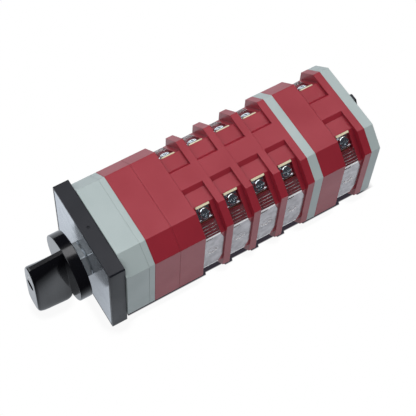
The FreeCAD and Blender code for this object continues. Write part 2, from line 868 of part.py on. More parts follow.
def make_plunger_and_bridge(number, start):
    """The pair for the right side; the left side mirrors it."""
    closed_tip = chamber_inner + S.slip_fit + S.strip_thickness + S.tip_thickness
    bridge_x = closed_tip + S.closed_gap + S.cam_travel + S.tip_thickness
    bridge_end = bridge_x + S.bridge_thickness
    nose = S.cam_radius + S.cam_gap
    shoulder = nose + S.plunger_nose_length
    half = S.plunger_half_height
    round_nose = S.plunger_nose_radius

    plunger = new_body(f"plunger_{number}_right", start)
    outline = [
        (nose + round_nose, round_nose),
        (shoulder, half),
        (bridge_end + S.plunger_prong, half),
        (bridge_end + S.plunger_prong, -half),
        (shoulder, -half),
        (nose + round_nose, -round_nose),
        (nose, 0, round_nose),
    ]
    outline[0] = outline[0] + (round_nose,)
    pad(plunger, "XZ", [outline], terminal_middle - S.plunger_width / 2, S.plunger_width)
    gap = S.bridge_width + 2 * S.slip_fit
    reach = half + CUT_PAST
    slot = rectangle(bridge_x, bridge_end + S.plunger_prong + CUT_PAST, -reach, reach)
    pocket(plunger, "XZ", [slot], terminal_middle - gap / 2, gap)
    node(plunger, f"plunger_{number}_right")

    bridge = new_body(f"bridge_{number}_right", start)
    bar = rectangle(bridge_x, bridge_end, -S.bridge_half_length, S.bridge_half_length)
    pad(bridge, "XZ", [bar], terminal_middle - S.bridge_width / 2, S.bridge_width)
    tips = []
    for level in (1, -1):
        low = level * S.leg_end
        high = level * (S.leg_end + S.tip_size)
        tips.append(rectangle(bridge_x - S.tip_thickness, bridge_x, low, high))
    pad(bridge, "XZ", tips, terminal_middle - S.tip_size / 2, S.tip_size)
    node(bridge, f"bridge_{number}_right")

    for piece, label in ((plunger, "plunger"), (bridge, "bridge")):
        left = mirror(piece, Vector(1, 0, 0), f"{label}_{number}_mirrored")
        node(left, f"{label}_{number}_left")
    return bridge_end


def spring_shape(start, end, y, radius, wire, turns):
    """A square wire coiled about an axis parallel to X, in straight runs."""
    runs = turns * SPRING_SIDES
    half = wire / 2
    advance = (end - start - wire) / runs
    rings = []
    for index in range(runs + 1):
        angle = 2 * math.pi * index / SPRING_SIDES
        x = start + half + advance * index
        corners = []
        for across, along in ((-half, -half), (half, -half), (half, half), (-half, half)):
            reach = radius + across
            corners.append(Vector(x + along, y + reach * math.cos(angle), reach * math.sin(angle)))
        rings.append(corners)
    faces = [Part.Face(Part.makePolygon(ring + ring[:1])) for ring in (rings[0], rings[-1])]
    for before, after in zip(rings, rings[1:]):
        for side in range(4):
            other = (side + 1) % 4
            quad = [before[side], before[other], after[other], after[side]]
            faces.append(Part.Face(Part.makePolygon([quad[0], quad[1], quad[2], quad[0]])))
            faces.append(Part.Face(Part.makePolygon([quad[0], quad[2], quad[3], quad[0]])))
    solid = Part.makeSolid(Part.makeShell(faces))
    if solid.Volume < 0:
        solid.reverse()
    return solid


def make_springs(label, placed):
    """Springs on the right at (start, end, y) and their mirror images on the left."""
    solids = [spring_shape(*place) for place in placed]
    source = doc.addObject("Part::Feature", label + "_right")
    source.Shape = Part.makeCompound(solids)
    source.Placement = Placement()
    node(left_and_right(source, label + "_pair"), label)


def make_covers(number, start):
    """Clear cover over the contacts of one side: two sloped ends and the side window."""
    body = new_body(f"clear_cover_{number}", start)
    outer = cover_side(as_size(0))
    inner = cover_side(-S.cover_thickness)
    ribs = []
    slope_length = (side_x - side_corner_z) / ROOT_TWO - terminal_end
    pitch = slope_length / (RIBS_ON_COVER + 1)
    for index in range(1, RIBS_ON_COVER + 1):
        middle = terminal_end + pitch * index
        ribs.append(diagonal(middle - S.cover_rib_width / 2, slope_distance))
        ribs.append(diagonal(middle, slope_distance + S.cover_rib_height))
        ribs.append(diagonal(middle + S.cover_rib_width / 2, slope_distance))
    upper = outer[:1] + ribs + outer[1:]
    outline = upper + [(u, -v) for u, v in reversed(upper)]
    outline += [(u, -v) for u, v in inner] + list(reversed(inner))
    pad(body, "XZ", [outline], S.cover_front, S.cover_rear - S.cover_front)
    for level in (1, -1):
        past = side_x + CUT_PAST
        corner = [
            (S.cover_shoulder, level * cover_inner_z),
            (S.cover_rear, level * S.cover_tongue_half_height),
            (S.cover_rear + CUT_PAST, level * S.cover_tongue_half_height),
            (S.cover_rear + CUT_PAST, level * past),
            (S.cover_shoulder, level * past),
        ]
        pocket(body, "YZ", [corner], 0, past)
    pad(body, "YZ", [circle(terminal_middle, 0, S.cover_boss_radius)], side_x, S.cover_boss_height)
    pair = left_and_right(body, f"clear_covers_{number}_pair")
    node(pair, f"clear_covers_{number}")


# Shaft, knob and fasteners

def make_shaft():
    """Square bar, turned round where it runs in the collar and in the rear cover."""
    front = disc_rear - S.shaft_socket_depth
    rear = rear_cover_start + S.shaft_rear_journal_length
    body = new_body("shaft")
    pad(body, "XZ", [square(0)], front, rear - front)
    journal = circle(0, 0, S.shaft_journal_radius)
    pad(body, "XZ", [journal], collar_front, S.detent_front_wall + S.slip_fit - collar_front)
    pad(body, "XZ", [journal], rear_cover_start, S.shaft_rear_journal_length)
    hole = circle(0, 0, S.knob_screw_radius + S.slip_fit)
    pocket(body, "XZ", [hole], front, S.knob_screw_length)
    node(body, "shaft")


def make_knob():
    """Round disc with an upright handle that hangs past it at its round lower end."""
    body = new_body("knob", handle_end)
    end = handle_outline(S.end_top, S.end_shoulder_half_width, S.end_shoulder_height,
                         S.end_shoulder_bend, S.end_bottom_radius)
    root = handle_outline(S.root_top, S.root_shoulder_half_width, S.root_shoulder_height,
                          S.root_shoulder_bend, S.root_bottom_radius)
    loft = body.newObject("PartDesign::AdditiveLoft", "handle_loft")
    loft.Profile = add_sketch(body, "XZ", [end])
    loft.Sections = [add_sketch(body, "XZ", [root], S.handle_depth)]
    loft.Ruled = True
    body.Tip = loft
    # Seen from the side, the handle's two lower corners are rounded.
    nose = S.handle_nose_radius
    heel = S.handle_heel_radius
    depth = S.handle_depth
    low = -S.handle_bottom
    past = low - CUT_PAST
    front_corner = [
        (nose, low),
        (0, low + nose, nose),
        (-CUT_PAST, low + nose),
        (-CUT_PAST, past),
        (nose, past),
    ]
    rear_corner = [
        (depth, low + heel),
        (depth - heel, low, heel),
        (depth - heel, past),
        (depth + CUT_PAST, past),
        (depth + CUT_PAST, low + heel),
    ]
    reach = S.root_bottom_radius + CUT_PAST
    pocket(body, "YZ", [front_corner, rear_corner], -reach, 2 * reach)
    disc_end = S.handle_depth + S.disc_depth
    rim = S.disc_radius - S.disc_edge
    turned(body, [
        (S.handle_depth, 0),
        (S.handle_depth, rim),
        (S.handle_depth + S.disc_edge, S.disc_radius),
        (disc_end - S.disc_edge, S.disc_radius),
        (disc_end, rim),
        (disc_end, 0),
    ])
    socket_end = disc_rear - handle_end - S.shaft_socket_depth
    pocket(body, "XZ", [square(S.slip_fit)], socket_end, S.shaft_socket_depth)
    pocket(body, "XZ", [circle(0, 0, S.knob_screw_radius + S.screw_clearance)], 0, socket_end)
    pocket(body, "XZ", [circle(0, 0, S.knob_screw_head_radius + S.screw_clearance)], 0,
           S.knob_screw_recess + S.knob_screw_head_height)
    pocket(body, "XZ", [pointer_outline(S.slip_fit)], 0, S.pointer_depth)
    node(body, "knob")


def handle_outline(top, shoulder, shoulder_height, bend, bottom):
    """Front view of the handle: narrow at the top, bent to its shoulders, round at the bottom."""
    tip = S.handle_tip_half_width
    centre = bottom - S.handle_bottom
    return [
        (-tip, top, bend),
        (tip, top),
        (shoulder, shoulder_height, bend),
        (bottom, centre),
        (0, centre - bottom, bottom),
        (-bottom, centre, bottom),
        (-shoulder, shoulder_height),
    ]


def pointer_outline(clearance):
    half = S.pointer_width / 2 + clearance
    top = S.end_top - S.pointer_inset + clearance
    return rectangle(-half, half, top - S.pointer_length - 2 * clearance, top)


def make_pointer_cap():
    body = new_body("knob_pointer_cap", handle_end)
    pad(body, "XZ", [pointer_outline(0)], 0, S.pointer_depth)
    node(body, "knob_pointer_cap")


def make_knob_screw():
    body = new_body("knob_screw", handle_end)
    head_end = S.knob_screw_recess + S.knob_screw_head_height
    shaft_front = disc_rear - handle_end - S.shaft_socket_depth
    pad(body, "XZ", [circle(0, 0, S.knob_screw_head_radius)], S.knob_screw_recess,
        S.knob_screw_head_height)
    pad(body, "XZ", [circle(0, 0, S.knob_screw_radius)], head_end,
        shaft_front + S.knob_screw_length - head_end - S.blind_hole_spare)
    reach = S.knob_screw_head_radius + CUT_PAST
    half = S.terminal_slot_width / 2
    pocket(body, "XZ", [rectangle(-reach, reach, -half, half)],
           S.knob_screw_recess, S.terminal_slot_depth)
    node(body, "knob_screw")


def make_detent_plungers():
    body = new_body("detent_plunger")
    nose = S.star_radius + S.detent_plunger_gap
    end = nose + S.detent_plunger_length
    half = S.detent_plunger_half_height
    tip = S.detent_nose_radius
    outline = [
        (nose + tip, tip, tip),
        (nose + half, half),
        (end, half),
        (end, -half),
        (nose + half, -half),
        (nose + tip, -tip),
        (nose, 0, tip),
    ]
    front = S.detent_front_wall + S.slip_fit
    pad(body, "XZ", [outline], front, S.detent_plunger_width)
    node(left_and_right(body, "detent_plunger_pair"), "detent_plungers")
    y = front + S.detent_plunger_width / 2
    place = (end.number, detent_channel_end.number, y.number,
             S.spring_radius.number, S.spring_wire.number, int(S.detent_spring_turns.number))
    make_springs("detent_springs", [place])


def make_return_springs(bridge_end):
    placed = []
    for start in layer_starts:
        y = start + terminal_middle
        placed.append((bridge_end.number, cover_inner_x.number, y.number,
                       S.spring_radius.number, S.spring_wire.number, int(S.spring_turns.number)))
    make_springs("return_springs", placed)


def make_tie_bolts():
    body = new_body("tie_bolt")
    length = rear_face + S.nut_height + S.bolt_end
    pad(body, "XZ", [circle(0, tie_offset, S.tie_radius)], S.slip_fit, length - S.slip_fit)
    pad(body, "XZ", [circle(0, tie_offset, S.tie_head_radius)], S.slip_fit, S.tie_head_height)
    lower = mirror(body, Vector(0, 0, 1), "tie_bolt_lower")
    node(together([body, lower], "tie_bolt_pair"), "tie_bolts")


def make_tie_nuts():
    body = new_body("tie_nut", rear_face)
    hole = circle(0, tie_offset, S.tie_radius + S.slip_fit)
    pad(body, "XZ", [hexagon(S.nut_width, S.nut_turn, tie_offset), hole], 0, S.nut_height)
    lower = mirror(body, Vector(0, 0, 1), "tie_nut_lower")
    node(together([body, lower], "tie_nut_pair"), "tie_nuts")


# The whole switch

make_knob()
make_pointer_cap()
make_knob_screw()
make_collar()
make_front_plate()
make_face_plate()
make_panel_screws()
make_detent_housing()
make_detent_cover()
make_star_wheel()
make_detent_plungers()
for number, start in enumerate(spacer_starts, start=1):
    make_spacer(f"spacer_housing_{number}", start, S.spacer_depth)
for number, start in enumerate(layer_starts, start=1):
    make_contact_housing(number, start)
    make_cam(number, start)
    bridge_end = make_plunger_and_bridge(number, start)
    make_covers(number, start)
make_terminals()
make_return_springs(bridge_end)
make_spacer("divider_plate", divider_start, S.divider_depth)
make_spacer("rear_spacer_housing", rear_spacer_start, S.rear_spacer_depth)
make_rear_cover()
make_shaft()
make_tie_bolts()
make_tie_nuts()

doc.recompute()

# Every object is checked before anything is written.
faults = []
for item in doc.Objects:
    if "Invalid" in item.State or "Error" in item.State:
        faults.append(f"{item.Name}: {item.State}")
    if item.TypeId == "PartDesign::Pocket" and item.BaseFeature is not None:
        if item.Shape.Volume > item.BaseFeature.Shape.Volume * 0.99999:
            faults.append(f"{item.Name}: takes nothing away")
for item in nodes:
    if item.Shape.isNull() or not item.Shape.isValid():
        faults.append(f"{item.Label}: shape is not valid")
if faults:
    raise RuntimeError("; ".join(faults))

os.makedirs("parts", exist_ok=True)
for item in nodes:
    item.Shape.exportStep(os.path.join("parts", item.Label + ".step"))
print(len(nodes), "pieces written")
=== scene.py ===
"""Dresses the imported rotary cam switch: finishes, fasteners, light and camera."""

import logging
import math
from dataclasses import dataclass, field
from enum import Enum
from typing import Any, Callable

import bpy
from mathutils import Matrix, Vector


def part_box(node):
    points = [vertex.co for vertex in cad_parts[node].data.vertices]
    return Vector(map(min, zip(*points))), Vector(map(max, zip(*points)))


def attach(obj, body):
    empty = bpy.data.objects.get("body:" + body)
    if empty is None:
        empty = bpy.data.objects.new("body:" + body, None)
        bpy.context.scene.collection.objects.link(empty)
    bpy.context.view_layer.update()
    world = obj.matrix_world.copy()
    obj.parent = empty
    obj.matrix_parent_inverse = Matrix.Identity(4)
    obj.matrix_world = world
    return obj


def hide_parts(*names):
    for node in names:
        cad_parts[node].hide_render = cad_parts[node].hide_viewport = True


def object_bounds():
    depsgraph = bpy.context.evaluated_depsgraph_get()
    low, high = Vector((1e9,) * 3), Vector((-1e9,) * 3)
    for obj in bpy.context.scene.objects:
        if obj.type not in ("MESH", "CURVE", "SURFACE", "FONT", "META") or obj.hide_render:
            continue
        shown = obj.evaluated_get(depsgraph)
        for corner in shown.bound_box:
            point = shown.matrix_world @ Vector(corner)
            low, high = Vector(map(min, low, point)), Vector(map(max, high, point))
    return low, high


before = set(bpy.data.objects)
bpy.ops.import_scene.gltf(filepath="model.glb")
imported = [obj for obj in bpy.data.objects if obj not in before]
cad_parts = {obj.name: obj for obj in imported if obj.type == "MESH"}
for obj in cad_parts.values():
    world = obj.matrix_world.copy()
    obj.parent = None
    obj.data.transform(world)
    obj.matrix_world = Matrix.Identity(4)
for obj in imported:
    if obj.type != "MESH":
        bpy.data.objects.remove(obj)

LOG = logging.getLogger("cam_switch")
MM = 0.001
LAYERS = range(1, 6)
LAYER_MIDDLE = 6.05 * MM
SIDES = (1, -1)
CAD_BOX = [list(corner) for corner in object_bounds()]

Piece = bpy.types.Object
Pair = tuple[float, float]
Triple = tuple[float, float, float]
Colour = Triple
Stops = tuple[tuple[float, Colour], ...]
WHITE: Colour = (1.0, 1.0, 1.0)
BLACK: Colour = (0.0, 0.0, 0.0)


class Body(Enum):
    """The moving bodies that outside pieces ride on."""

    HOUSING = "housing"
    ROTOR = "rotor"


class Brush(Enum):
    """How the fine lines of a metal run, as a stretch along the three axes."""

    NONE = (1.0, 1.0, 1.0)
    UPRIGHT = (9.0, 9.0, 0.12)
    TURNED = (0.3, 8.0, 0.3)


def layer_middle(layer: int) -> float:
    """Where the terminals of a contact layer stand along the shaft."""
    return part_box(f"contact_housing_{layer}")[0].y + LAYER_MIDDLE


def linked(name: str, data: bpy.types.ID) -> Piece:
    """Put new data in the scene.

    Args:
        name: the object's name.
        data: its mesh, lamp or camera.

    Returns:
        The object.
    """
    thing = bpy.data.objects.new(name, data)
    bpy.context.scene.collection.objects.link(thing)
    return thing


# Shader maths


class Wire:
    """One shader socket that can stand in a sum."""

    def __init__(self, board: "Board", socket: bpy.types.NodeSocket) -> None:
        """Keep the socket and the board that it is on."""
        self.board = board
        self.socket = socket

    def _sum(self, operation: str, first: Any, second: Any, clamp: bool = False) -> "Wire":
        """Add one Math node for two Wires or numbers."""
        settings = {"operation": operation, "use_clamp": clamp}
        return self.board.add("ShaderNodeMath", settings, {0: first, 1: second})

    def __add__(self, other: Any) -> "Wire":
        """Add."""
        return self._sum("ADD", self, other)

    __radd__ = __add__

    def __sub__(self, other: Any) -> "Wire":
        """Take away."""
        return self._sum("SUBTRACT", self, other)

    def __rsub__(self, other: Any) -> "Wire":
        """Take this from another."""
        return self._sum("SUBTRACT", other, self)

    def __mul__(self, other: Any) -> "Wire":
        """Multiply."""
        return self._sum("MULTIPLY", self, other)

    def __abs__(self) -> "Wire":
        """Drop the sign."""
        return self._sum("ABSOLUTE", self, 0.0)

    def at_least(self, limit: float) -> "Wire":
        """Lift the value to a limit where it is lower."""
        return self._sum("MAXIMUM", self, limit)

    def held(self) -> "Wire":
        """Keep the value from 0 to 1."""
        return self._sum("ADD", self, 0.0, clamp=True)

    def past(self, limit: Any, rate: float) -> "Wire":
        """0 up to a limit, then rising at a rate to 1."""
        return ((self - limit) * rate).held()

    def short_of(self, limit: Any, rate: float) -> "Wire":
        """1 well below a limit, falling at a rate to 0 at the limit."""
        return ((limit - self) * rate).held()


class Board:
    """The node tree of one material or world."""

    def __init__(self, tree: bpy.types.NodeTree) -> None:
        """Start with an empty tree."""
        self.tree = tree
        tree.nodes.clear()

    def add(self, kind: str, settings: dict[str, Any] | None = None,
            values: dict[Any, Any] | None = None, out: Any = None) -> Wire:
        """Add a node.

        Args:
            kind: the node's type.
            settings: properties that are set first.
            values: numbers, colours or Wires by socket name or number.
            out: the output to return, the first visible one if None.

        Returns:
            The node's output.
        """
        node = self.tree.nodes.new(kind)
        for key, value in (settings or {}).items():
            setattr(node, key, value)
        for key, value in (values or {}).items():
            socket = node.inputs[key]
            if isinstance(value, Wire):
                self.tree.links.new(value.socket, socket)
            elif isinstance(value, tuple) and len(value) == 3 and socket.type == "RGBA":
                socket.default_value = (*value, 1.0)
            else:
                socket.default_value = value
        if not node.outputs:
            return Wire(self, node.inputs[0])
        if out is None:
            out = next(i for i, socket in enumerate(node.outputs) if socket.enabled)
        return Wire(self, node.outputs[out])

    def coordinates(self, kind: str = "Object") -> Wire:
        """A point's Object or Generated coordinates, or its Normal."""
        return self.add("ShaderNodeTexCoord", out=kind)

    def axis(self, vector: Wire, name: str) -> Wire:
        """One of a vector's three parts."""
        return self.add("ShaderNodeSeparateXYZ", values={0: vector}, out=name)

    def place(self, stretch: Triple = (1.0, 1.0, 1.0)) -> Wire:
        """Object coordinates, stretched along the three axes."""
        return self.add("ShaderNodeMapping", values={"Vector": self.coordinates(), "Scale": stretch})

    def noise(self, place: Wire, scale: float, detail: float) -> Wire:
        """A noise about 0.5 with so many swells in a metre."""
        values = {"Vector": place, "Scale": scale, "Detail": detail}
        return self.add("ShaderNodeTexNoise", {"noise_dimensions": "3D"}, values, out=0)

    def blend(self, share: Any, first: Any, second: Any) -> Wire:
        """Mix two colours: first at share 0, second at share 1."""
        return self.add("ShaderNodeMix", {"data_type": "RGBA"}, {0: share, 6: first, 7: second}, out=2)

    def ramp(self, value: Wire, *stops: tuple[float, Colour]) -> Wire:
        """Add a colour that changes with a value.

        Args:
            value: the value.
            stops: two or more values with their colours.

        Returns:
            The colour.
        """
        colours = self.add("ShaderNodeValToRGB", values={0: value})
        elements = colours.socket.node.color_ramp.elements
        while len(elements) < len(stops):
            elements.new(0.5)
        for element, (place, colour) in zip(elements, stops):
            element.position = place
            element.color = (*colour, 1.0)
        return colours

    def along(self, first: Any, second: Any) -> Wire:
        """How far two directions agree: 1 where they are the same."""
        values = {0: first, 1: second}
        return self.add("ShaderNodeVectorMath", {"operation": "DOT_PRODUCT"}, values, out="Value")

    def openness(self, reach: float, samples: int, own: bool = False) -> Wire:
        """1 in the open and less where faces, or only the piece's own, stand within reach."""
        settings = {"samples": samples, "only_local": own}
        return self.add("ShaderNodeAmbientOcclusion", settings, {"Distance": reach}, out="AO")

    def ray(self, kind: str) -> Wire:
        """1 for Camera, Glossy or Transmission rays."""
        return self.add("ShaderNodeLightPath", out=f"Is {kind} Ray")

    def rounded(self, radius: float) -> Wire:
        """A normal that turns gently over each edge."""
        return self.add("ShaderNodeBevel", {"samples": 4}, {"Radius": radius})

    def edges(self, soft: Wire, rate: float = 6.0) -> Wire:
        """1 on an edge and 0 on a flat face, from a rounded normal."""
        flat = self.add("ShaderNodeNewGeometry", out="Normal")
        return ((1.0 - self.along(soft, flat)) * rate).held()

    def bump(self, height: Wire, strength: float, depth: float, normal: Wire) -> Wire:
        """A Bump node for a height from 0 to 1 that is depth metres deep."""
        values = {"Height": height, "Strength": strength, "Distance": depth, "Normal": normal}
        return self.add("ShaderNodeBump", values=values)

    def principled(self, values: dict[str, Any]) -> Wire:
        """The main shader with the values given."""
        return self.add("ShaderNodeBsdfPrincipled", values=values)

    def surface(self, shader: Wire) -> None:
        """Lead a shader to the material's output."""
        self.add("ShaderNodeOutputMaterial", values={"Surface": shader})


# Finishes


@dataclass(frozen=True)
class Finish:
    """What every finish has: a name and a way to start its material."""

    name: str

    def board(self) -> tuple[bpy.types.Material, Board]:
        """Start a material.

        Returns:
            A new material of this name and its empty board.
        """
        material = bpy.data.materials.new(self.name)
        material.use_nodes = True
        return material, Board(material.node_tree)


@dataclass(frozen=True)
class MouldedPlastic(Finish):
    """Injection moulded plastic with a fine spark-eroded grain, worn edges and painted shade in its creases
    and recesses.
    """

    colour: Colour
    deep: Colour
    rubbed: Colour
    gloss: float = 0.36
    grain: float = 0.25
    shine: float = 0.5
    # painted shade: the colour darkens towards this in creases and recesses, by ambient occlusion within the
    # reach below
    painted_shade: Colour = (0.03, 0.004, 0.012)
    painted_shade_reach: float = 5.0 * MM
    painted_shade_from: float = 0.35 / 1.5
    painted_shade_rate: float = 1.5
    painted_shade_share: float = 0.85
    edge: float = 0.3 * MM
    clouds: float = 55.0
    specks: float = 1400.0
    pits: float = 3600.0
    pit_depth: float = 0.04 * MM
    cloud_share: float = 1.6
    speck_share: float = 0.5
    rub_from: float = 0.25 / 1.6
    rub_rate: float = 1.6
    rub_share: float = 0.55

    def material(self) -> bpy.types.Material:
        """Make the plastic.

        Returns:
            The material.
        """
        material, board = self.board()
        place = board.place()
        cloud = board.noise(place, self.clouds, 3.0)
        speck = board.noise(place, self.specks, 2.0)
        pit = board.noise(place, self.pits, 1.0)
        soft = board.rounded(self.edge)
        drift = ((cloud - 0.5) * self.cloud_share + (speck - 0.5) * self.speck_share + 0.5).held()
        body = board.blend(drift, self.colour, self.deep)
        rub = board.edges(soft) * speck.past(self.rub_from, self.rub_rate) * self.rub_share
        worn = board.blend(rub, body, self.rubbed)
        # painted shade in creases and recesses, from the piece's own ambient occlusion
        closed = 1.0 - board.openness(self.painted_shade_reach, 4, own=True)
        painted_shade = closed.past(self.painted_shade_from, self.painted_shade_rate) * self.painted_shade_share
        board.surface(board.principled({
            "Base Color": board.blend(painted_shade, worn, self.painted_shade),
            "Roughness": (cloud - 0.5) * 0.14 + (speck - 0.5) * 0.10 + self.gloss,
            "Normal": board.bump(pit * 0.7 + speck * 0.3, self.grain, self.pit_depth, soft),
            "IOR": 1.5, "Specular IOR Level": self.shine}))
        return material


@dataclass(frozen=True)
class BareMetal(Finish):
    """Plated, turned or rolled metal, a little dulled."""

    colour: Colour
    dull: Colour
    gloss: float
    depth: float
    brush: Brush = Brush.NONE
    edge: float = 0.15 * MM
    metallic: float = 1.0
    clouds: float = 180.0
    lines: float = 1500.0
    line_strength: float = 0.35
    stain_from: float = 0.42
    stain_rate: float = 2.4
    stain_share: float = 0.7

    def material(self) -> bpy.types.Material:
        """Make the metal.

        Returns:
            The material.
        """
        material, board = self.board()
        cloud = board.noise(board.place(), self.clouds, 3.0)
        line = board.noise(board.place(self.brush.value), self.lines, 2.0)
        stain = cloud.past(self.stain_from, self.stain_rate) * self.stain_share
        board.surface(board.principled({
            "Base Color": board.blend(stain, self.colour, self.dull),
            "Roughness": (cloud - 0.5) * 0.16 + (line - 0.5) * 0.12 + self.gloss,
            "Normal": board.bump(line, self.line_strength, self.depth, board.rounded(self.edge)),
            "Metallic": self.metallic}))
        return material


@dataclass(frozen=True)
class ClearPlastic(Finish):
    """Clear moulded cover: frosted on its upright window, clear on its slopes, with painted highlights on its
    window edges, window rims, slope ridges and pips.
    """

    tint: Colour
    frost: Colour
    # painted highlight colour for the window edges, rims, ridge crests and pips
    bright: Colour
    gloss: float = 0.16
    edge: float = 0.3 * MM
    window: float = 0.86
    slope: float = 0.05
    window_from: float = 31.6 * MM
    pip_highlight_from: float = 32.34 * MM
    rim_from: float = 16.0 * MM
    slot_low: float = 14.4 * MM
    slot_from: float = 32.06 * MM
    crest: float = 34.82 * MM
    waves: float = 240.0
    dusts: float = 1900.0
    wave_depth: float = 0.1 * MM
    rim_rate: float = 6000.0
    step_rate: float = 8000.0
    crest_rate: float = 12000.0
    pip_rate: float = 20000.0

    def slot(self, board: Board, across: Wire, level: Wire) -> Wire:
        """1 in the moulded slot, which stays clear and so looks dark."""
        tall = level.past(self.slot_low, self.step_rate) * level.short_of(self.rim_from, self.step_rate)
        return across.short_of(self.slot_from, self.pip_rate) * tall

    def material(self) -> bpy.types.Material:
        """Make the clear plastic.

        Returns:
            The material.
        """
        material, board = self.board()
        place = board.place()
        wave = board.noise(place, self.waves, 2.0)
        dust = board.noise(place, self.dusts, 2.0)
        soft = board.rounded(self.edge)
        coordinates = board.coordinates()
        across = abs(board.axis(coordinates, "X"))
        level = abs(board.axis(coordinates, "Z"))
        upward = abs(board.axis(board.coordinates("Normal"), "Z"))
        upright = across.past(self.window_from, self.step_rate)
        # painted highlights: the pips, the window's top and bottom rims, the upward ridge crests and the
        # window's edges
        pips = across.past(self.pip_highlight_from, self.pip_rate)
        rim_highlights = level.past(self.rim_from, self.rim_rate) * upright
        proud = ((across + level) * math.sqrt(0.5)).past(self.crest, self.crest_rate)
        ridge_highlights = proud * upward * (wave * 2.2 - 0.35).held() * 0.5 * (1.0 - upright)
        patches = (wave - 0.5) * 0.8 * upright
        frosting = upright * (self.window - self.slope) + self.slope + (dust - 0.5) * 0.10 + patches
        # painted highlight mask, which also makes the film less clear
        bright = (board.edges(soft) * upright + ridge_highlights + pips + rim_highlights).held()
        share = (frosting + bright * 0.8).held() * (1.0 - self.slot(board, across, level) * 0.95)
        through = board.add("ShaderNodeBsdfTransparent", values={"Color": self.tint})
        film = board.principled({
            "Base Color": board.blend(bright, self.frost, self.bright),
            "Roughness": (dust - 0.5) * 0.12 + self.gloss,
            "Normal": board.bump(wave, 0.25, self.wave_depth, soft),
            "IOR": 1.55, "Coat Weight": 1.0, "Coat Roughness": 0.04})
        board.surface(board.add("ShaderNodeMixShader", values={0: share, 1: through, 2: film}))
        return material


# Moulded plastics darken towards a painted shade colour in their creases and recesses.
FINISHES: dict[str, Finish] = {
    "red_plastic": MouldedPlastic(
        "moulded_red", (0.335, 0.020, 0.036), (0.285, 0.014, 0.027), (0.46, 0.10, 0.12),
        gloss=0.34, shine=0.38),
    "grey_plastic": MouldedPlastic(
        "moulded_grey", (0.435, 0.505, 0.500), (0.395, 0.465, 0.460), (0.60, 0.66, 0.66),
        gloss=0.40, painted_shade=(0.10, 0.12, 0.13)),
    "black_plastic": MouldedPlastic(
        "moulded_black", (0.011, 0.012, 0.017), (0.007, 0.008, 0.012), (0.05, 0.05, 0.06),
        grain=0.35, shine=0.28, painted_shade=(0.004, 0.004, 0.006)),
    "knob_plastic": MouldedPlastic(
        "knob_black", (0.004, 0.004, 0.006), (0.003, 0.003, 0.004), (0.02, 0.02, 0.024),
        gloss=0.13, grain=0.08, shine=0.52, painted_shade=(0.002, 0.002, 0.003)),
    "face_metal": BareMetal(
        "satin_aluminium", (0.43, 0.47, 0.51), (0.33, 0.36, 0.41),
        gloss=0.14, brush=Brush.UPRIGHT, depth=0.005 * MM, metallic=0.7),
    "collar_chrome": BareMetal(
        "nickel_plate", (0.80, 0.85, 0.88), (0.60, 0.65, 0.68),
        gloss=0.10, brush=Brush.TURNED, depth=0.004 * MM, metallic=0.65),
    # the clear cover's third colour is its painted highlight
    "clear_plastic": ClearPlastic(
        "clear_cover", (0.93, 0.88, 0.90), (0.41, 0.385, 0.42), (0.96, 0.95, 0.96)),
    "brass": BareMetal(
        "rolled_brass", (1.0, 0.92, 0.66), (0.95, 0.83, 0.52), gloss=0.24, depth=0.006 * MM, metallic=0.1),
    "screw_steel": BareMetal(
        "zinc_plate", (0.88, 0.93, 0.96), (0.50, 0.56, 0.60), gloss=0.17, depth=0.008 * MM),
    "spring_steel": BareMetal(
        "spring_wire", (0.55, 0.55, 0.57), (0.36, 0.35, 0.34), gloss=0.28, depth=0.006 * MM),
    "pointer_white": MouldedPlastic(
        "pointer_white", (0.80, 0.80, 0.79), (0.74, 0.74, 0.72), (0.86, 0.86, 0.86),
        gloss=0.3, grain=0.05, painted_shade=(0.5, 0.5, 0.5)),
    "cam_plastic": MouldedPlastic(
        "natural_nylon", (0.70, 0.68, 0.60), (0.62, 0.60, 0.51), (0.78, 0.76, 0.70),
        gloss=0.42, painted_shade=(0.2, 0.19, 0.15)),
    "nut_black": BareMetal(
        "blackened_steel", (0.045, 0.047, 0.052), (0.020, 0.020, 0.024), gloss=0.34, depth=0.01 * MM),
}


# Modelling tools


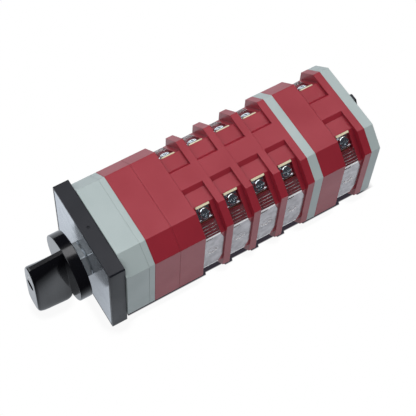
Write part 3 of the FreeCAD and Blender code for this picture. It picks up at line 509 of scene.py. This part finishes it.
class Bench:
    """The moves and cutters that every maker uses."""

    @staticmethod
    def alone(piece: Piece) -> None:
        """Select one piece and nothing else.

        Args:
            piece: the object to select.
        """
        bpy.ops.object.select_all(action="DESELECT")
        piece.select_set(True)
        bpy.context.view_layer.objects.active = piece

    @staticmethod
    def added(name: str) -> Piece:
        """Name the object that was just added or joined.

        Args:
            name: the name for it and its mesh.

        Returns:
            The object.
        """
        piece = bpy.context.object
        piece.name = name
        piece.data.name = name
        return piece

    @classmethod
    def fresh(cls, name: str, place: Matrix, add: Callable[..., Any], **sizes: Any) -> Piece:
        """Add a plain form.

        Args:
            name: its name.
            place: where it goes, and how it is turned and stretched.
            add: Blender's own way to add it.
            sizes: its sizes.

        Returns:
            The form, with its object at the origin.
        """
        bpy.ops.object.select_all(action="DESELECT")
        add(**sizes)
        piece = cls.added(name)
        piece.data.transform(place @ piece.matrix_world)
        piece.matrix_world = Matrix.Identity(4)
        return piece

    @classmethod
    def block(cls, name: str, middle: Any, half: Any, turn: Matrix = Matrix.Identity(4)) -> Piece:
        """Add a square block from its middle and half its length along each of its own axes."""
        place = Matrix.Translation(middle) @ turn @ Matrix.Diagonal((*half, 1))
        return cls.fresh(name, place, bpy.ops.mesh.primitive_cube_add, size=2)

    @classmethod
    def rod(cls, name: str, radius: float, length: float, sides: int, place: Matrix) -> Piece:
        """Add a rod along its own Z, whose round has so many flat sides."""
        add = bpy.ops.mesh.primitive_cylinder_add
        return cls.fresh(name, place, add, vertices=sides, radius=radius, depth=length)

    @staticmethod
    def pick(piece: Piece, kind: str, wanted: Callable[[Vector, Vector], bool]) -> None:
        """Select faces or edges by their place and normal.

        Args:
            piece: the mesh object, in object mode.
            kind: "FACE" or "EDGE".
            wanted: told the middle, and a face's normal or an edge's direction.
        """
        mesh = piece.data
        for group in (mesh.vertices, mesh.edges, mesh.polygons):
            group.foreach_set("select", [False] * len(group))
        bpy.context.tool_settings.mesh_select_mode = (False, kind == "EDGE", kind == "FACE")
        if kind == "FACE":
            for face in mesh.polygons:
                face.select = wanted(face.center, face.normal)
        else:
            for edge in mesh.edges:
                ends = [mesh.vertices[i].co for i in edge.vertices]
                edge.select = wanted((ends[0] + ends[1]) / 2, (ends[1] - ends[0]).normalized())

    @classmethod
    def edit(cls, piece: Piece, *moves: Callable[[], Any]) -> None:
        """Run edit-mode moves on what is selected.

        Args:
            piece: the mesh object.
            moves: the moves, in order.
        """
        cls.alone(piece)
        bpy.ops.object.mode_set(mode="EDIT")
        for move in moves:
            move()
        bpy.ops.object.mode_set(mode="OBJECT")

    @classmethod
    def modify(cls, piece: Piece, kind: str, **settings: Any) -> None:
        """Add a modifier and apply it.

        Args:
            piece: the mesh object.
            kind: the modifier's type.
            settings: its properties.
        """
        cls.alone(piece)
        modifier = piece.modifiers.new(kind.lower(), kind)
        for key, value in settings.items():
            setattr(modifier, key, value)
        bpy.ops.object.modifier_apply(modifier=modifier.name)

    @classmethod
    def ease(cls, piece: Piece, width: float, segments: int = 2, degrees: float = 40.0) -> None:
        """Bevel the edges that turn by more than an angle."""
        cls.modify(piece, "BEVEL", width=width, segments=segments, limit_method="ANGLE",
                   angle_limit=math.radians(degrees), use_clamp_overlap=True)

    @classmethod
    def smooth(cls, piece: Piece, degrees: float = 35.0) -> None:
        """Shade smooth where faces meet at less than an angle, with flat faces left flat.

        Args:
            piece: the mesh object.
            degrees: the angle.
        """
        cls.alone(piece)
        bpy.ops.object.shade_smooth_by_angle(angle=math.radians(degrees))
        cls.modify(piece, "WEIGHTED_NORMAL", mode="FACE_AREA", weight=90, keep_sharp=True)

    @classmethod
    def cut(cls, piece: Piece, tool: Piece, operation: str = "DIFFERENCE") -> None:
        """Cut a piece by a tool, or unite the two, and throw the tool away.

        Args:
            piece: what is cut.
            tool: what cuts it.
            operation: the boolean's operation.
        """
        cls.modify(piece, "BOOLEAN", object=tool, operation=operation, solver="EXACT")
        mesh = tool.data
        bpy.data.objects.remove(tool)
        bpy.data.meshes.remove(mesh)

    @staticmethod
    def twin(piece: Piece, matrix: Matrix) -> Piece:
        """Copy a piece.

        Args:
            piece: the pattern.
            matrix: where the copy goes.

        Returns:
            The copy, with its own mesh.
        """
        copy = linked(piece.name + "_twin", piece.data.copy())
        copy.data.transform(matrix)
        return copy

    @classmethod
    def joined(cls, pieces: list[Piece], name: str) -> Piece:
        """Make one object of several.

        Args:
            pieces: the objects.
            name: the name of the whole.

        Returns:
            The whole.
        """
        cls.alone(pieces[0])
        for piece in pieces:
            piece.select_set(True)
        bpy.ops.object.join()
        return cls.added(name)

    @classmethod
    def node_copy(cls, node: str) -> Piece:
        """Copy a CAD node and merge its loose triangles into whole faces.

        Args:
            node: the node's name.

        Returns:
            The copy.
        """
        name = node + "_eased"
        piece = linked(name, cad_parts[node].data.copy())
        piece.data.name = name
        cls.alone(piece)
        bpy.ops.mesh.customdata_custom_splitnormals_clear()
        cls.edit(
            piece,
            lambda: bpy.ops.mesh.select_all(action="SELECT"),
            lambda: bpy.ops.mesh.remove_doubles(threshold=0.002 * MM),
            lambda: bpy.ops.mesh.dissolve_limited(angle_limit=math.radians(0.5)),
        )
        return piece


@dataclass
class Dresser:
    """Gives nodes and pieces their materials and bodies."""

    materials: dict[str, bpy.types.Material] = field(default_factory=dict)

    def material(self, slot: str) -> bpy.types.Material:
        """Look up a slot's material.

        Args:
            slot: the record's material slot.

        Returns:
            The material, made once.
        """
        if slot not in self.materials:
            self.materials[slot] = FINISHES[slot].material()
        return self.materials[slot]

    def dress_node(self, node: str) -> None:
        """Put the finish on each slot of a CAD node.

        Args:
            node: the node's name.
        """
        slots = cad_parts[node].data.materials
        for index, plain in enumerate(slots):
            slots[index] = self.material(plain.name.split(".")[0])

    def hand_over(self, piece: Piece, slot: str, body: Body, *nodes: str) -> None:
        """Finish a new piece and let it ride.

        Args:
            piece: the finished mesh object.
            slot: the record's material slot.
            body: what it rides on.
            nodes: the CAD nodes that it stands for.
        """
        piece.data.materials.clear()
        piece.data.materials.append(self.material(slot))
        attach(piece, body.value)
        if nodes:
            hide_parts(*nodes)
        LOG.info("%s: %d faces, rides on %s", piece.name, len(piece.data.polygons), body.value)


# Sub-assemblies


@dataclass
class Housings:
    """The moulded blocks along the shaft, with their edges eased."""

    dresser: Dresser
    ease: float = 0.25 * MM
    blocks: tuple[tuple[str, str], ...] = (
        ("detent_housing", "grey_plastic"), ("detent_cover", "grey_plastic"),
        ("spacer_housing_1", "red_plastic"), ("spacer_housing_2", "red_plastic"),
        ("divider_plate", "grey_plastic"), ("rear_spacer_housing", "red_plastic"),
        ("rear_cover", "grey_plastic"))

    def build(self) -> None:
        """Ease the edges of each plain block."""
        for node, slot in self.blocks:
            piece = Bench.node_copy(node)
            Bench.ease(piece, self.ease)
            Bench.smooth(piece)
            self.dresser.hand_over(piece, slot, Body.HOUSING, node)


@dataclass
class Terminals:
    """Screws and saddle clamps at the four corners of the five layers."""

    dresser: Dresser
    slope_shift: float = -3.88 * MM
    seat: float = 32.45 * MM
    head_radius: float = 3.3 * MM
    head_height: float = 2.4 * MM
    head_round: float = 0.38
    head_sides: int = 28
    shank_radius: float = 1.75 * MM
    shank_length: float = 8.0 * MM
    shank_point: float = 0.3 * MM
    slot_width: float = 0.9 * MM
    slot_depth: float = 1.0 * MM
    slot_reach: float = 4.2 * MM
    cross_width: float = 0.81 * MM
    cross_reach: float = 1.9 * MM
    clamp_half: float = 4.3 * MM
    clamp_thick: float = 1.2 * MM
    clamp_lip: float = 1.0 * MM
    upper_rise: float = 1.3 * MM
    lower_rise: float = 0.8 * MM
    clamp_ease: float = 0.45 * MM

    def places(self) -> list[Matrix]:
        """Find where the screws' seats are.

        Returns:
            A place for each: its own Z looks outward and its X runs along the slope.
        """
        found = []
        for layer in LAYERS:
            along = Vector((0, layer_middle(layer), 0))
            for side in SIDES:
                for level in SIDES:
                    outward = Vector((side, 0, level)).normalized()
                    slope = Vector((side, 0, -level)).normalized()
                    origin = outward * self.seat + slope * self.slope_shift + along
                    turn = Matrix((slope, outward.cross(slope), outward)).transposed().to_4x4()
                    found.append(Matrix.Translation(origin) @ turn)
        return found

    def screw(self) -> Piece:
        """Make one pan head screw with a slot and a cross.

        Returns:
            The screw, with its seat at the origin.
        """
        top = Matrix.Translation((0, 0, self.head_height / 2))
        head = Bench.rod("screw_head", self.head_radius, self.head_height, self.head_sides, top)
        Bench.pick(head, "EDGE", lambda middle, way: middle.z > self.head_height * 0.99)
        Bench.edit(head, lambda: bpy.ops.mesh.bevel(
            offset=self.head_height * self.head_round, segments=3, profile=0.5))
        Bench.pick(head, "FACE", lambda middle, normal: normal.z < -0.9)
        step = Vector((0, 0, -self.shank_length))
        Bench.edit(
            head,
            lambda: bpy.ops.mesh.inset(thickness=self.head_radius - self.shank_radius),
            lambda: bpy.ops.mesh.extrude_region_move(TRANSFORM_OT_translate={"value": step}),
            lambda: bpy.ops.mesh.bevel(offset=self.shank_point, segments=1, affect="EDGES"),
        )
        for degrees, width, reach in ((90, self.slot_width, self.slot_reach),
                                      (0, self.cross_width, self.cross_reach)):
            turn = Matrix.Rotation(math.radians(degrees), 4, "Z")
            half = (reach, width / 2, self.slot_depth)
            Bench.cut(head, Bench.block("slot_tool", (0, 0, self.head_height), half, turn))
        Bench.smooth(head, 40)
        return head

    def clamp(self) -> Piece:
        """Make one saddle clamp with both ends turned up.

        Returns:
            The clamp, with its top face at the origin.
        """
        thick = self.clamp_thick / 2
        plate = Bench.block("saddle", (0, 0, -thick), (self.clamp_half, self.clamp_half, thick))
        bend = self.clamp_half - self.clamp_lip
        for x in (-bend, bend):
            Bench.edit(
                plate,
                lambda: bpy.ops.mesh.select_all(action="SELECT"),
                lambda: bpy.ops.mesh.bisect(plane_co=(x, 0, 0), plane_no=(1, 0, 0)),
            )
        for side, rise in ((-1, self.upper_rise), (1, self.lower_rise)):
            Bench.pick(plate, "FACE", lambda middle, normal: normal.z > 0.9 and side * middle.x > bend)
            Bench.edit(plate, lambda: bpy.ops.mesh.extrude_region_move(
                TRANSFORM_OT_translate={"value": Vector((0, 0, rise))}))
        Bench.ease(plate, self.clamp_ease, 4)
        Bench.smooth(plate, 40)
        return plate

    def build(self) -> None:
        """Make one screw and one clamp and set twenty of each."""
        for make, node, name in ((self.screw, "terminal_screws", "slotted_screws"),
                                 (self.clamp, "wire_clamps", "saddle_clamps")):
            pattern = make()
            twins = [Bench.twin(pattern, place) for place in self.places()]
            bpy.data.objects.remove(pattern)
            self.dresser.hand_over(Bench.joined(twins, name), "screw_steel", Body.HOUSING, node)


@dataclass
class ClearCovers:
    """Clear covers with soft edges, a moulded slot and three pips on each window."""

    dresser: Dresser
    ease: float = 0.24 * MM
    slot_low: float = 14.5 * MM
    slot_high: float = 15.9 * MM
    slot_start: float = 0.4 * MM
    slot_length: float = 4.2 * MM
    slot_depth: float = 0.9 * MM
    boss_height: float = 0.2 * MM
    boss_drop: float = 0.36 * MM
    pip_radius: float = 0.72 * MM
    pip_shape: Triple = (0.75, 1.35, 0.8)
    pip_sides: int = 14
    pip_rings: int = 8
    pips: tuple[Pair, ...] = ((-2.0, -0.5), (0.1, -1.1), (2.0, 0.2))

    def slot_tool(self, face: float, start: float) -> Piece:
        """Make a block for the slot under a window's upper edge.

        Args:
            face: the window's X.
            start: where the cover begins along the shaft.

        Returns:
            The block.
        """
        middle = (face, start + self.slot_start + self.slot_length / 2, (self.slot_low + self.slot_high) / 2)
        half = (self.slot_depth, self.slot_length / 2, (self.slot_high - self.slot_low) / 2)
        return Bench.block("slot_tool", middle, half)

    def pip(self, place: Vector) -> Piece:
        """Make one low round pip that stands out along X.

        Args:
            place: its middle.

        Returns:
            The pip.
        """
        shape = Matrix.Translation(place) @ Matrix.Diagonal((*self.pip_shape, 1))
        pip = Bench.fresh("window_pip", shape, bpy.ops.mesh.primitive_uv_sphere_add,
                          segments=self.pip_sides, ring_count=self.pip_rings, radius=self.pip_radius)
        Bench.smooth(pip, 60)
        return pip

    def build(self) -> None:
        """Make the five pairs, each window's low boss pressed flat."""
        for layer in LAYERS:
            node = f"clear_covers_{layer}"
            piece = Bench.node_copy(node)
            low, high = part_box(node)
            face = high.x - self.boss_drop
            for point in piece.data.vertices:
                if abs(point.co.x) > high.x - self.boss_height:
                    point.co.x = math.copysign(face, point.co.x)
            for side in SIDES:
                Bench.cut(piece, self.slot_tool(side * face, low.y))
            Bench.ease(piece, self.ease, degrees=30)
            Bench.smooth(piece, 30)
            parts = [piece]
            for side in SIDES:
                for along, up in self.pips:
                    parts.append(self.pip(Vector((side * face, layer_middle(layer) + along * MM, up * MM))))
            whole = Bench.joined(parts, node + "_eased")
            self.dresser.hand_over(whole, "clear_plastic", Body.HOUSING, node)


@dataclass
class FrontPanel:
    """Black plate with eased edges and the hexagon nut on its metal face."""

    dresser: Dresser
    plate_ease: float = 0.4 * MM
    nut_ease: float = 0.32 * MM

    def build(self) -> None:
        """Ease the plate's edges and the nut's."""
        for node, slot, width in (("front_plate", "black_plastic", self.plate_ease),
                                  ("threaded_collar", "collar_chrome", self.nut_ease)):
            piece = Bench.node_copy(node)
            Bench.ease(piece, width, 3)
            Bench.smooth(piece)
            self.dresser.hand_over(piece, slot, Body.HOUSING, node)


@dataclass
class Knob:
    """The turned disc and its bar handle, whose flanks swell evenly to the round foot. In mm.

    The halves list X and Z from the ridge down. Each foot entry holds a section's place along the shaft, its
    lowest point and how far its outline is drawn in. The pointer is half its width and its two ends, the
    disc its radius and its two ends, and the bore and socket a radius or half side and a depth.
    """

    dresser: Dresser
    front: float = -42.5
    root: float = -21.7
    end_half: tuple[Pair, ...] = (
        (1.2, 18.5), (2.6, 17.3), (4.0, 15.4), (5.0, 13.2), (5.7, 10.8), (6.2, 7.5),
        (6.5, 3.0), (6.65, -2.0), (6.65, -8.0), (6.6, -13.5), (6.5, -18.0), (6.3, -21.5))
    root_half: tuple[Pair, ...] = (
        (1.2, 20.0), (2.0, 18.0), (2.8, 15.6), (3.4, 13.2), (3.9, 10.8), (4.4, 7.5),
        (4.85, 3.0), (5.2, -2.0), (5.6, -8.0), (6.2, -13.5), (6.9, -18.0), (7.5, -21.5))
    foot: tuple[Triple, ...] = (
        (-42.5, -24.6, 0.8), (-42.35, -25.4, 0.45), (-42.0, -26.2, 0.2), (-41.4, -27.1, 0.0),
        (-40.4, -27.9, 0.0), (-39.2, -28.5, 0.0), (-37.8, -28.9, 0.0), (-36.0, -29.0, 0.0),
        (-31.0, -29.0, 0.0), (-25.6, -29.0, 0.0), (-24.3, -28.75, 0.0), (-23.2, -28.0, 0.0),
        (-22.4, -26.9, 0.0), (-21.7, -25.5, 0.0))
    foot_level: float = -29.0
    foot_steps: int = 8
    fullness: float = 0.75
    middle: float = -3.0
    end_width: float = 6.5
    end_height: float = 22.0
    bore: Pair = (3.55, 8.9)
    shank: float = 1.85
    pointer: Triple = (1.0, 6.2, 11.2)
    pointer_depth: float = 1.5
    disc: Triple = (20.3, -21.8, -14.7)
    disc_ease: float = 0.45
    disc_sides: int = 144
    drill_sides: int = 40
    socket: Pair = (4.1, 6.0)
    overrun: float = 0.2

    def half_section(self, share: float) -> list[Pair]:
        """Work out the right side of a section, without its lift at the foot's ends.

        Args:
            share: how far the section is from the end face to the disc.

        Returns:
            X and Z of its points, from the ridge down to the foot.
        """
        right = []
        for (end_x, end_z), (root_x, root_z) in zip(self.end_half, self.root_half):
            right.append((end_x + (root_x - end_x) * share, end_z + (root_z - end_z) * share))
        wide, start = right[-1]
        for step in range(1, self.foot_steps + 1):
            turn = math.pi / 2 * step / self.foot_steps
            out, down = math.cos(turn) ** self.fullness, math.sin(turn) ** self.fullness
            right.append((wide * out, start + (self.foot_level - start) * down))
        return right

    def ring(self, y: float, low: float, inset: float) -> list[Vector]:
        """Work out one section of the handle.

        Args:
            y: its place along the shaft.
            low: the height of its lowest point.
            inset: how far its outline is drawn in.

        Returns:
            Its points in metres, down the right side and up the left.
        """
        right = self.half_section((y - self.front) / (self.root - self.front))
        shrink = (low - self.middle) / (self.foot_level - self.middle)
        right = [(x, z if z > self.middle else self.middle + (z - self.middle) * shrink) for x, z in right]
        outline = right + [(-x, z) for x, z in reversed(right[:-1])]
        pull_x, pull_z = 1 - inset / self.end_width, 1 - inset / self.end_height
        return [Vector((x * pull_x, y, self.middle + (z - self.middle) * pull_z)) * MM for x, z in outline]

    def handle(self) -> Piece:
        """Lay a skin over the handle's sections.

        Returns:
            The bar, closed at both ends.
        """
        rings = [self.ring(*station) for station in self.foot]
        count = len(rings[0])
        last = count * (len(rings) - 1)
        faces = [tuple(reversed(range(count))), tuple(range(last, last + count))]
        for near in range(0, last, count):
            for i in range(count):
                j = (i + 1) % count
                faces.append((near + i, near + j, near + count + j, near + count + i))
        mesh = bpy.data.meshes.new("handle")
        mesh.from_pydata([point for ring in rings for point in ring], [], faces)
        piece = linked("handle", mesh)
        Bench.edit(piece, lambda: bpy.ops.mesh.select_all(action="SELECT"),
                   lambda: bpy.ops.mesh.normals_make_consistent(inside=False))
        return piece

    def round_piece(self, name: str, radius: float, start: float, end: float, sides: int) -> Piece:
        """Make a round piece from start to end along the shaft."""
        place = Matrix.Translation((0, (start + end) / 2 * MM, 0)) @ Matrix.Rotation(math.radians(90), 4, "X")
        return Bench.rod(name, radius * MM, (end - start) * MM, sides, place)

    def drill(self, radius: float, depth: float) -> Piece:
        """A round cutter into the end face."""
        return self.round_piece("drill", radius, self.front - depth, self.front + depth, self.drill_sides)

    def chisel(self, middle: Triple, half: Triple) -> Piece:
        """A square cutter."""
        return Bench.block("chisel", Vector(middle) * MM, Vector(half) * MM)

    def build(self) -> None:
        """Unite handle and disc, then bore them for the screw, pointer and shaft."""
        radius, start, end = self.disc
        knob = self.round_piece("disc", radius, start, end, self.disc_sides)
        Bench.ease(knob, self.disc_ease * MM, 3)
        Bench.cut(knob, self.handle(), "UNION")
        half, low, high = self.pointer
        mark = (half, self.pointer_depth, (high - low) / 2)
        side, deep = self.socket
        for tool in (self.drill(*self.bore),
                     self.drill(self.shank, end - deep - self.front + self.overrun),
                     self.chisel((0, self.front, (low + high) / 2), mark),
                     self.chisel((0, end, 0), (side, deep, side))):
            Bench.cut(knob, tool)
        knob.name = "knob_turned"
        Bench.smooth(knob, 32)
        self.dresser.hand_over(knob, "knob_plastic", Body.ROTOR, "knob")


@dataclass
class RearNuts:
    """Black nuts on bright washers, bored for the ends of the bolts."""

    dresser: Dresser
    washer_radius: float = 4.4 * MM
    washer_height: float = 0.6 * MM
    bore_radius: float = 2.1 * MM
    bore_length: float = 20.0 * MM
    ease_share: float = 0.16
    round_sides: int = 32

    def bored(self, name: str, radius: float, height: float, start: Vector, sides: int) -> Piece:
        """Make a bevelled piece along +Y with the bolt's hole through it.

        Args:
            name: its name.
            radius: its radius.
            height: its height along Y.
            start: the middle of its front face.
            sides: how many sides it has.

        Returns:
            The piece.
        """
        turn = Matrix.Rotation(math.radians(-90), 4, "X") @ Matrix.Rotation(math.radians(30), 4, "Z")
        middle = start + Vector((0, height / 2, 0))
        piece = Bench.rod(name, radius, height, sides, Matrix.Translation(middle) @ turn)
        Bench.ease(piece, min(height, radius) * self.ease_share)
        place = Matrix.Translation(start) @ turn
        tool = Bench.rod("bore_tool", self.bore_radius, self.bore_length, self.round_sides, place)
        Bench.cut(piece, tool)
        return piece

    def build(self) -> None:
        """Make both washers and both nuts."""
        low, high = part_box("tie_nuts")
        across = (high.x - low.x) / 2
        seats = [Vector((0, low.y, side * (high.z - across))) for side in SIDES]
        rise = Vector((0, self.washer_height, 0))
        washers = [self.bored("washer", self.washer_radius, rise.y, seat, self.round_sides)
                   for seat in seats]
        nuts = [self.bored("nut", across, high.y - low.y - rise.y, seat + rise, 6) for seat in seats]
        for parts, name, slot, nodes in ((washers, "tie_washers", "screw_steel", ()),
                                         (nuts, "tie_nuts_black", "nut_black", ("tie_nuts",))):
            piece = Bench.joined(parts, name)
            Bench.smooth(piece, 40)
            self.dresser.hand_over(piece, slot, Body.HOUSING, *nodes)


# Studio


@dataclass(frozen=True)
class PhotoCamera:
    """The photograph's own point of view."""

    place: Vector = Vector((0.28688, -0.13152, 0.60729))
    right: Vector = Vector((0.51937, 0.85358, 0.04067))
    up: Vector = Vector((-0.75471, 0.43585, 0.49035))
    forward: Vector = Vector((-0.40083, 0.28537, -0.87057))
    lens: float = 105.26
    sensor: float = 36.0
    nearest: float = 0.01
    farthest: float = 30.0

    def build(self) -> None:
        """Set the scene's camera."""
        data = bpy.data.cameras.new("photo_camera")
        data.lens = self.lens
        data.sensor_width = self.sensor
        data.clip_start = self.nearest
        data.clip_end = self.farthest
        camera = linked("photo_camera", data)
        turn = Matrix((self.right, self.up, -self.forward)).transposed().to_4x4()
        camera.matrix_world = Matrix.Translation(self.place) @ turn
        bpy.context.scene.camera = camera


@dataclass(frozen=True)
class SoftLamp:
    """A square soft lamp that looks at the middle of the switch."""

    name: str
    place: Vector
    size: float
    power: float
    target: Vector = Vector((0, 0.06, 0))

    def build(self) -> None:
        """Hang the lamp."""
        data = bpy.data.lights.new(self.name, "AREA")
        data.shape = "SQUARE"
        data.size = self.size
        data.energy = self.power
        lamp = linked(self.name, data)
        turn = (self.target - self.place).to_track_quat("-Z", "Y").to_matrix().to_4x4()
        lamp.matrix_world = Matrix.Translation(self.place) @ turn
        lamp.visible_glossy = False


@dataclass(frozen=True)
class Table:
    """A white sheet under the switch, with a painted shadow.

    The camera sees it white with a painted dark shadow at the switch's foot, which shows as a thin line
    beside the body. The painted shadow is narrower under the windows, whose places are cast on the sheet as
    the camera sees them, and fades at the rear.
    Shiny faces see a painted reflection: the sheet pale to the left and behind, dark to the right and well in
    front, and darker near the switch.
    """

    size: float = 3.0
    middle: float = 0.06
    # painted contact shadow: ambient occlusion within this reach darkens the sheet by the share below
    contact: float = 7.9 * MM
    contact_shadow_from: float = 5.7 / 7.0
    contact_shadow_rate: float = 7.0
    contact_shadow_share: float = 0.06
    # painted shadow: a dark band out to this distance from the shaft under the body, narrower under the
    # windows by the step below and fading at the rear
    foot: float = 30.1 * MM
    shadow_step: float = 1.5 * MM
    shadow_span: Pair = (1.5 * MM, 175.0 * MM)
    shadow_rate: float = 1500.0
    shadow_fade: float = 110.0
    painted_shadow_colour: Colour = (0.035, 0.03, 0.04)
    cast_scale: float = 1.025
    cast_shift: float = 3.3 * MM
    matt: Colour = (0.36, 0.36, 0.37)
    # painted reflection: glossy rays see the sheet coloured by place along the stops below, and darker near
    # the switch down to the least share
    mirror_rate: float = 5.0
    reflected_shade_least: float = 0.45
    mirror_front: float = 0.02
    mirror_rear: float = -0.03
    painted_reflection_stops: Stops = (
        (0.33, (0.90, 0.95, 1.02)), (0.41, (0.30, 0.32, 0.35)), (0.56, (0.03, 0.03, 0.035)))

    def painted_shadow(self, board: Board, ground: Wire) -> Wire:
        """Work out the painted shadow at the switch's foot.

        Args:
            board: the sheet's board.
            ground: where a point of the sheet is.

        Returns:
            0 on the open sheet and 1 in the painted shadow.
        """
        east, north = board.axis(ground, "X"), board.axis(ground, "Y")
        # painted contact shadow from ambient occlusion
        near = 1.0 - board.openness(self.contact, 16).past(self.contact_shadow_from, self.contact_shadow_rate)
        windows: Any = 0.0
        for layer in LAYERS:
            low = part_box(f"contact_housing_{layer}")[0].y * self.cast_scale + self.cast_shift
            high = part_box(f"clear_covers_{layer}")[1].y * self.cast_scale + self.cast_shift
            windows = windows + north.past(low, self.shadow_rate) * north.short_of(high, self.shadow_rate)
        start, end = self.shadow_span
        # painted shadow: a dark band under the body along the shaft
        under = abs(east).short_of(self.foot - windows * self.shadow_step, self.shadow_rate)
        under = under * north.past(start, self.shadow_rate) * north.short_of(end, self.shadow_fade)
        return (near * self.contact_shadow_share + under).held()

    def painted_reflection(self, board: Board, ground: Wire) -> Wire:
        """Work out the painted reflection that shiny faces see.

        Args:
            board: the sheet's board.
            ground: where a point of the sheet is.

        Returns:
            The colour.
        """
        east, north = board.axis(ground, "X"), board.axis(ground, "Y")
        reach = (east + (self.mirror_front - north).at_least(self.mirror_rear)) * self.mirror_rate
        # painted shade in the reflection near the switch, from ambient occlusion
        wide = board.openness(self.contact * 3, 6) * (1.0 - self.reflected_shade_least) + self.reflected_shade_least
        return board.blend(wide.held(), BLACK, board.ramp(reach, *self.painted_reflection_stops))

    def build(self) -> None:
        """Lay the sheet."""
        low = Vector((0, self.middle, CAD_BOX[0][2]))
        add = bpy.ops.mesh.primitive_plane_add
        sheet = Bench.fresh("white_table", Matrix.Translation(low), add, size=self.size)
        material, board = Finish("white_table").board()
        ground = board.coordinates()
        glossy = board.ray("Glossy")
        seen = (board.ray("Camera") + glossy + board.ray("Transmission")).held()
        # the camera sees the sheet white with the painted shadow
        shown = board.blend(self.painted_shadow(board, ground), WHITE, self.painted_shadow_colour)
        # glossy rays see the painted reflection
        colour = board.blend(glossy, shown, self.painted_reflection(board, ground))
        glow = board.add("ShaderNodeEmission", values={"Color": colour, "Strength": 1.0})
        matt = board.principled({"Base Color": self.matt, "Roughness": 0.9})
        board.surface(board.add("ShaderNodeMixShader", values={0: seen, 1: matt, 2: glow}))
        sheet.data.materials.append(material)


@dataclass(frozen=True)
class Surround:
    """White to the camera, dimmer to matt faces, and a dark room with two bright windows to shiny ones."""

    air_stops: Stops = (
        (0.0, (0.85, 0.85, 0.85)), (0.35, (0.22, 0.22, 0.23)), (0.62, (0.30, 0.30, 0.31)),
        (0.90, (0.80, 0.80, 0.81)))
    roof_window: Vector = Vector((-0.243, 0.285, 0.927))
    roof_stops: Stops = (
        (0.88, (0.035, 0.037, 0.045)), (0.955, (0.35, 0.35, 0.36)), (0.970, (3.3, 3.3, 3.4)))
    front_window: Vector = Vector((-0.15, -0.50, 0.85))
    front_stops: Stops = ((0.86, BLACK), (0.93, (2.6, 2.7, 2.8)))

    def build(self) -> None:
        """Set the scene's world."""
        world = bpy.data.worlds.new("surround")
        world.use_nodes = True
        bpy.context.scene.world = world
        board = Board(world.node_tree)
        direction = board.coordinates("Generated")
        air = board.ramp(board.axis(direction, "Z") * 0.5 + 0.5, *self.air_stops)
        roof = board.ramp(board.along(direction, tuple(self.roof_window.normalized())), *self.roof_stops)
        front = board.ramp(board.along(direction, tuple(self.front_window.normalized())), *self.front_stops)
        windows = board.add("ShaderNodeVectorMath", {"operation": "ADD"}, {0: roof, 1: front})
        unseen = board.blend(board.ray("Glossy"), air, windows)
        seen = (board.ray("Camera") + board.ray("Transmission")).held()
        board.add("ShaderNodeOutputWorld", values={"Surface": board.add(
            "ShaderNodeBackground", values={"Color": board.blend(seen, unseen, WHITE), "Strength": 1.0})})


def main() -> None:
    """Build the classes in order."""
    logging.basicConfig(level=logging.INFO, format="%(name)s %(message)s")
    bpy.context.scene.view_settings.view_transform = "Standard"
    dresser = Dresser()
    for node in sorted(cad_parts):
        dresser.dress_node(node)
    for assembly in (FrontPanel(dresser), Knob(dresser), Housings(dresser), ClearCovers(dresser),
                     Terminals(dresser), RearNuts(dresser)):
        assembly.build()
    lamps = (SoftLamp("key_lamp", Vector((-0.35, -0.25, 1.15)), size=0.9, power=5.8),
             SoftLamp("fill_lamp", Vector((0.9, -0.7, 0.55)), size=0.7, power=1.0))
    for stage in (PhotoCamera(), Table(), *lamps, Surround()):
        stage.build()


if __name__ == "__main__":
    main()
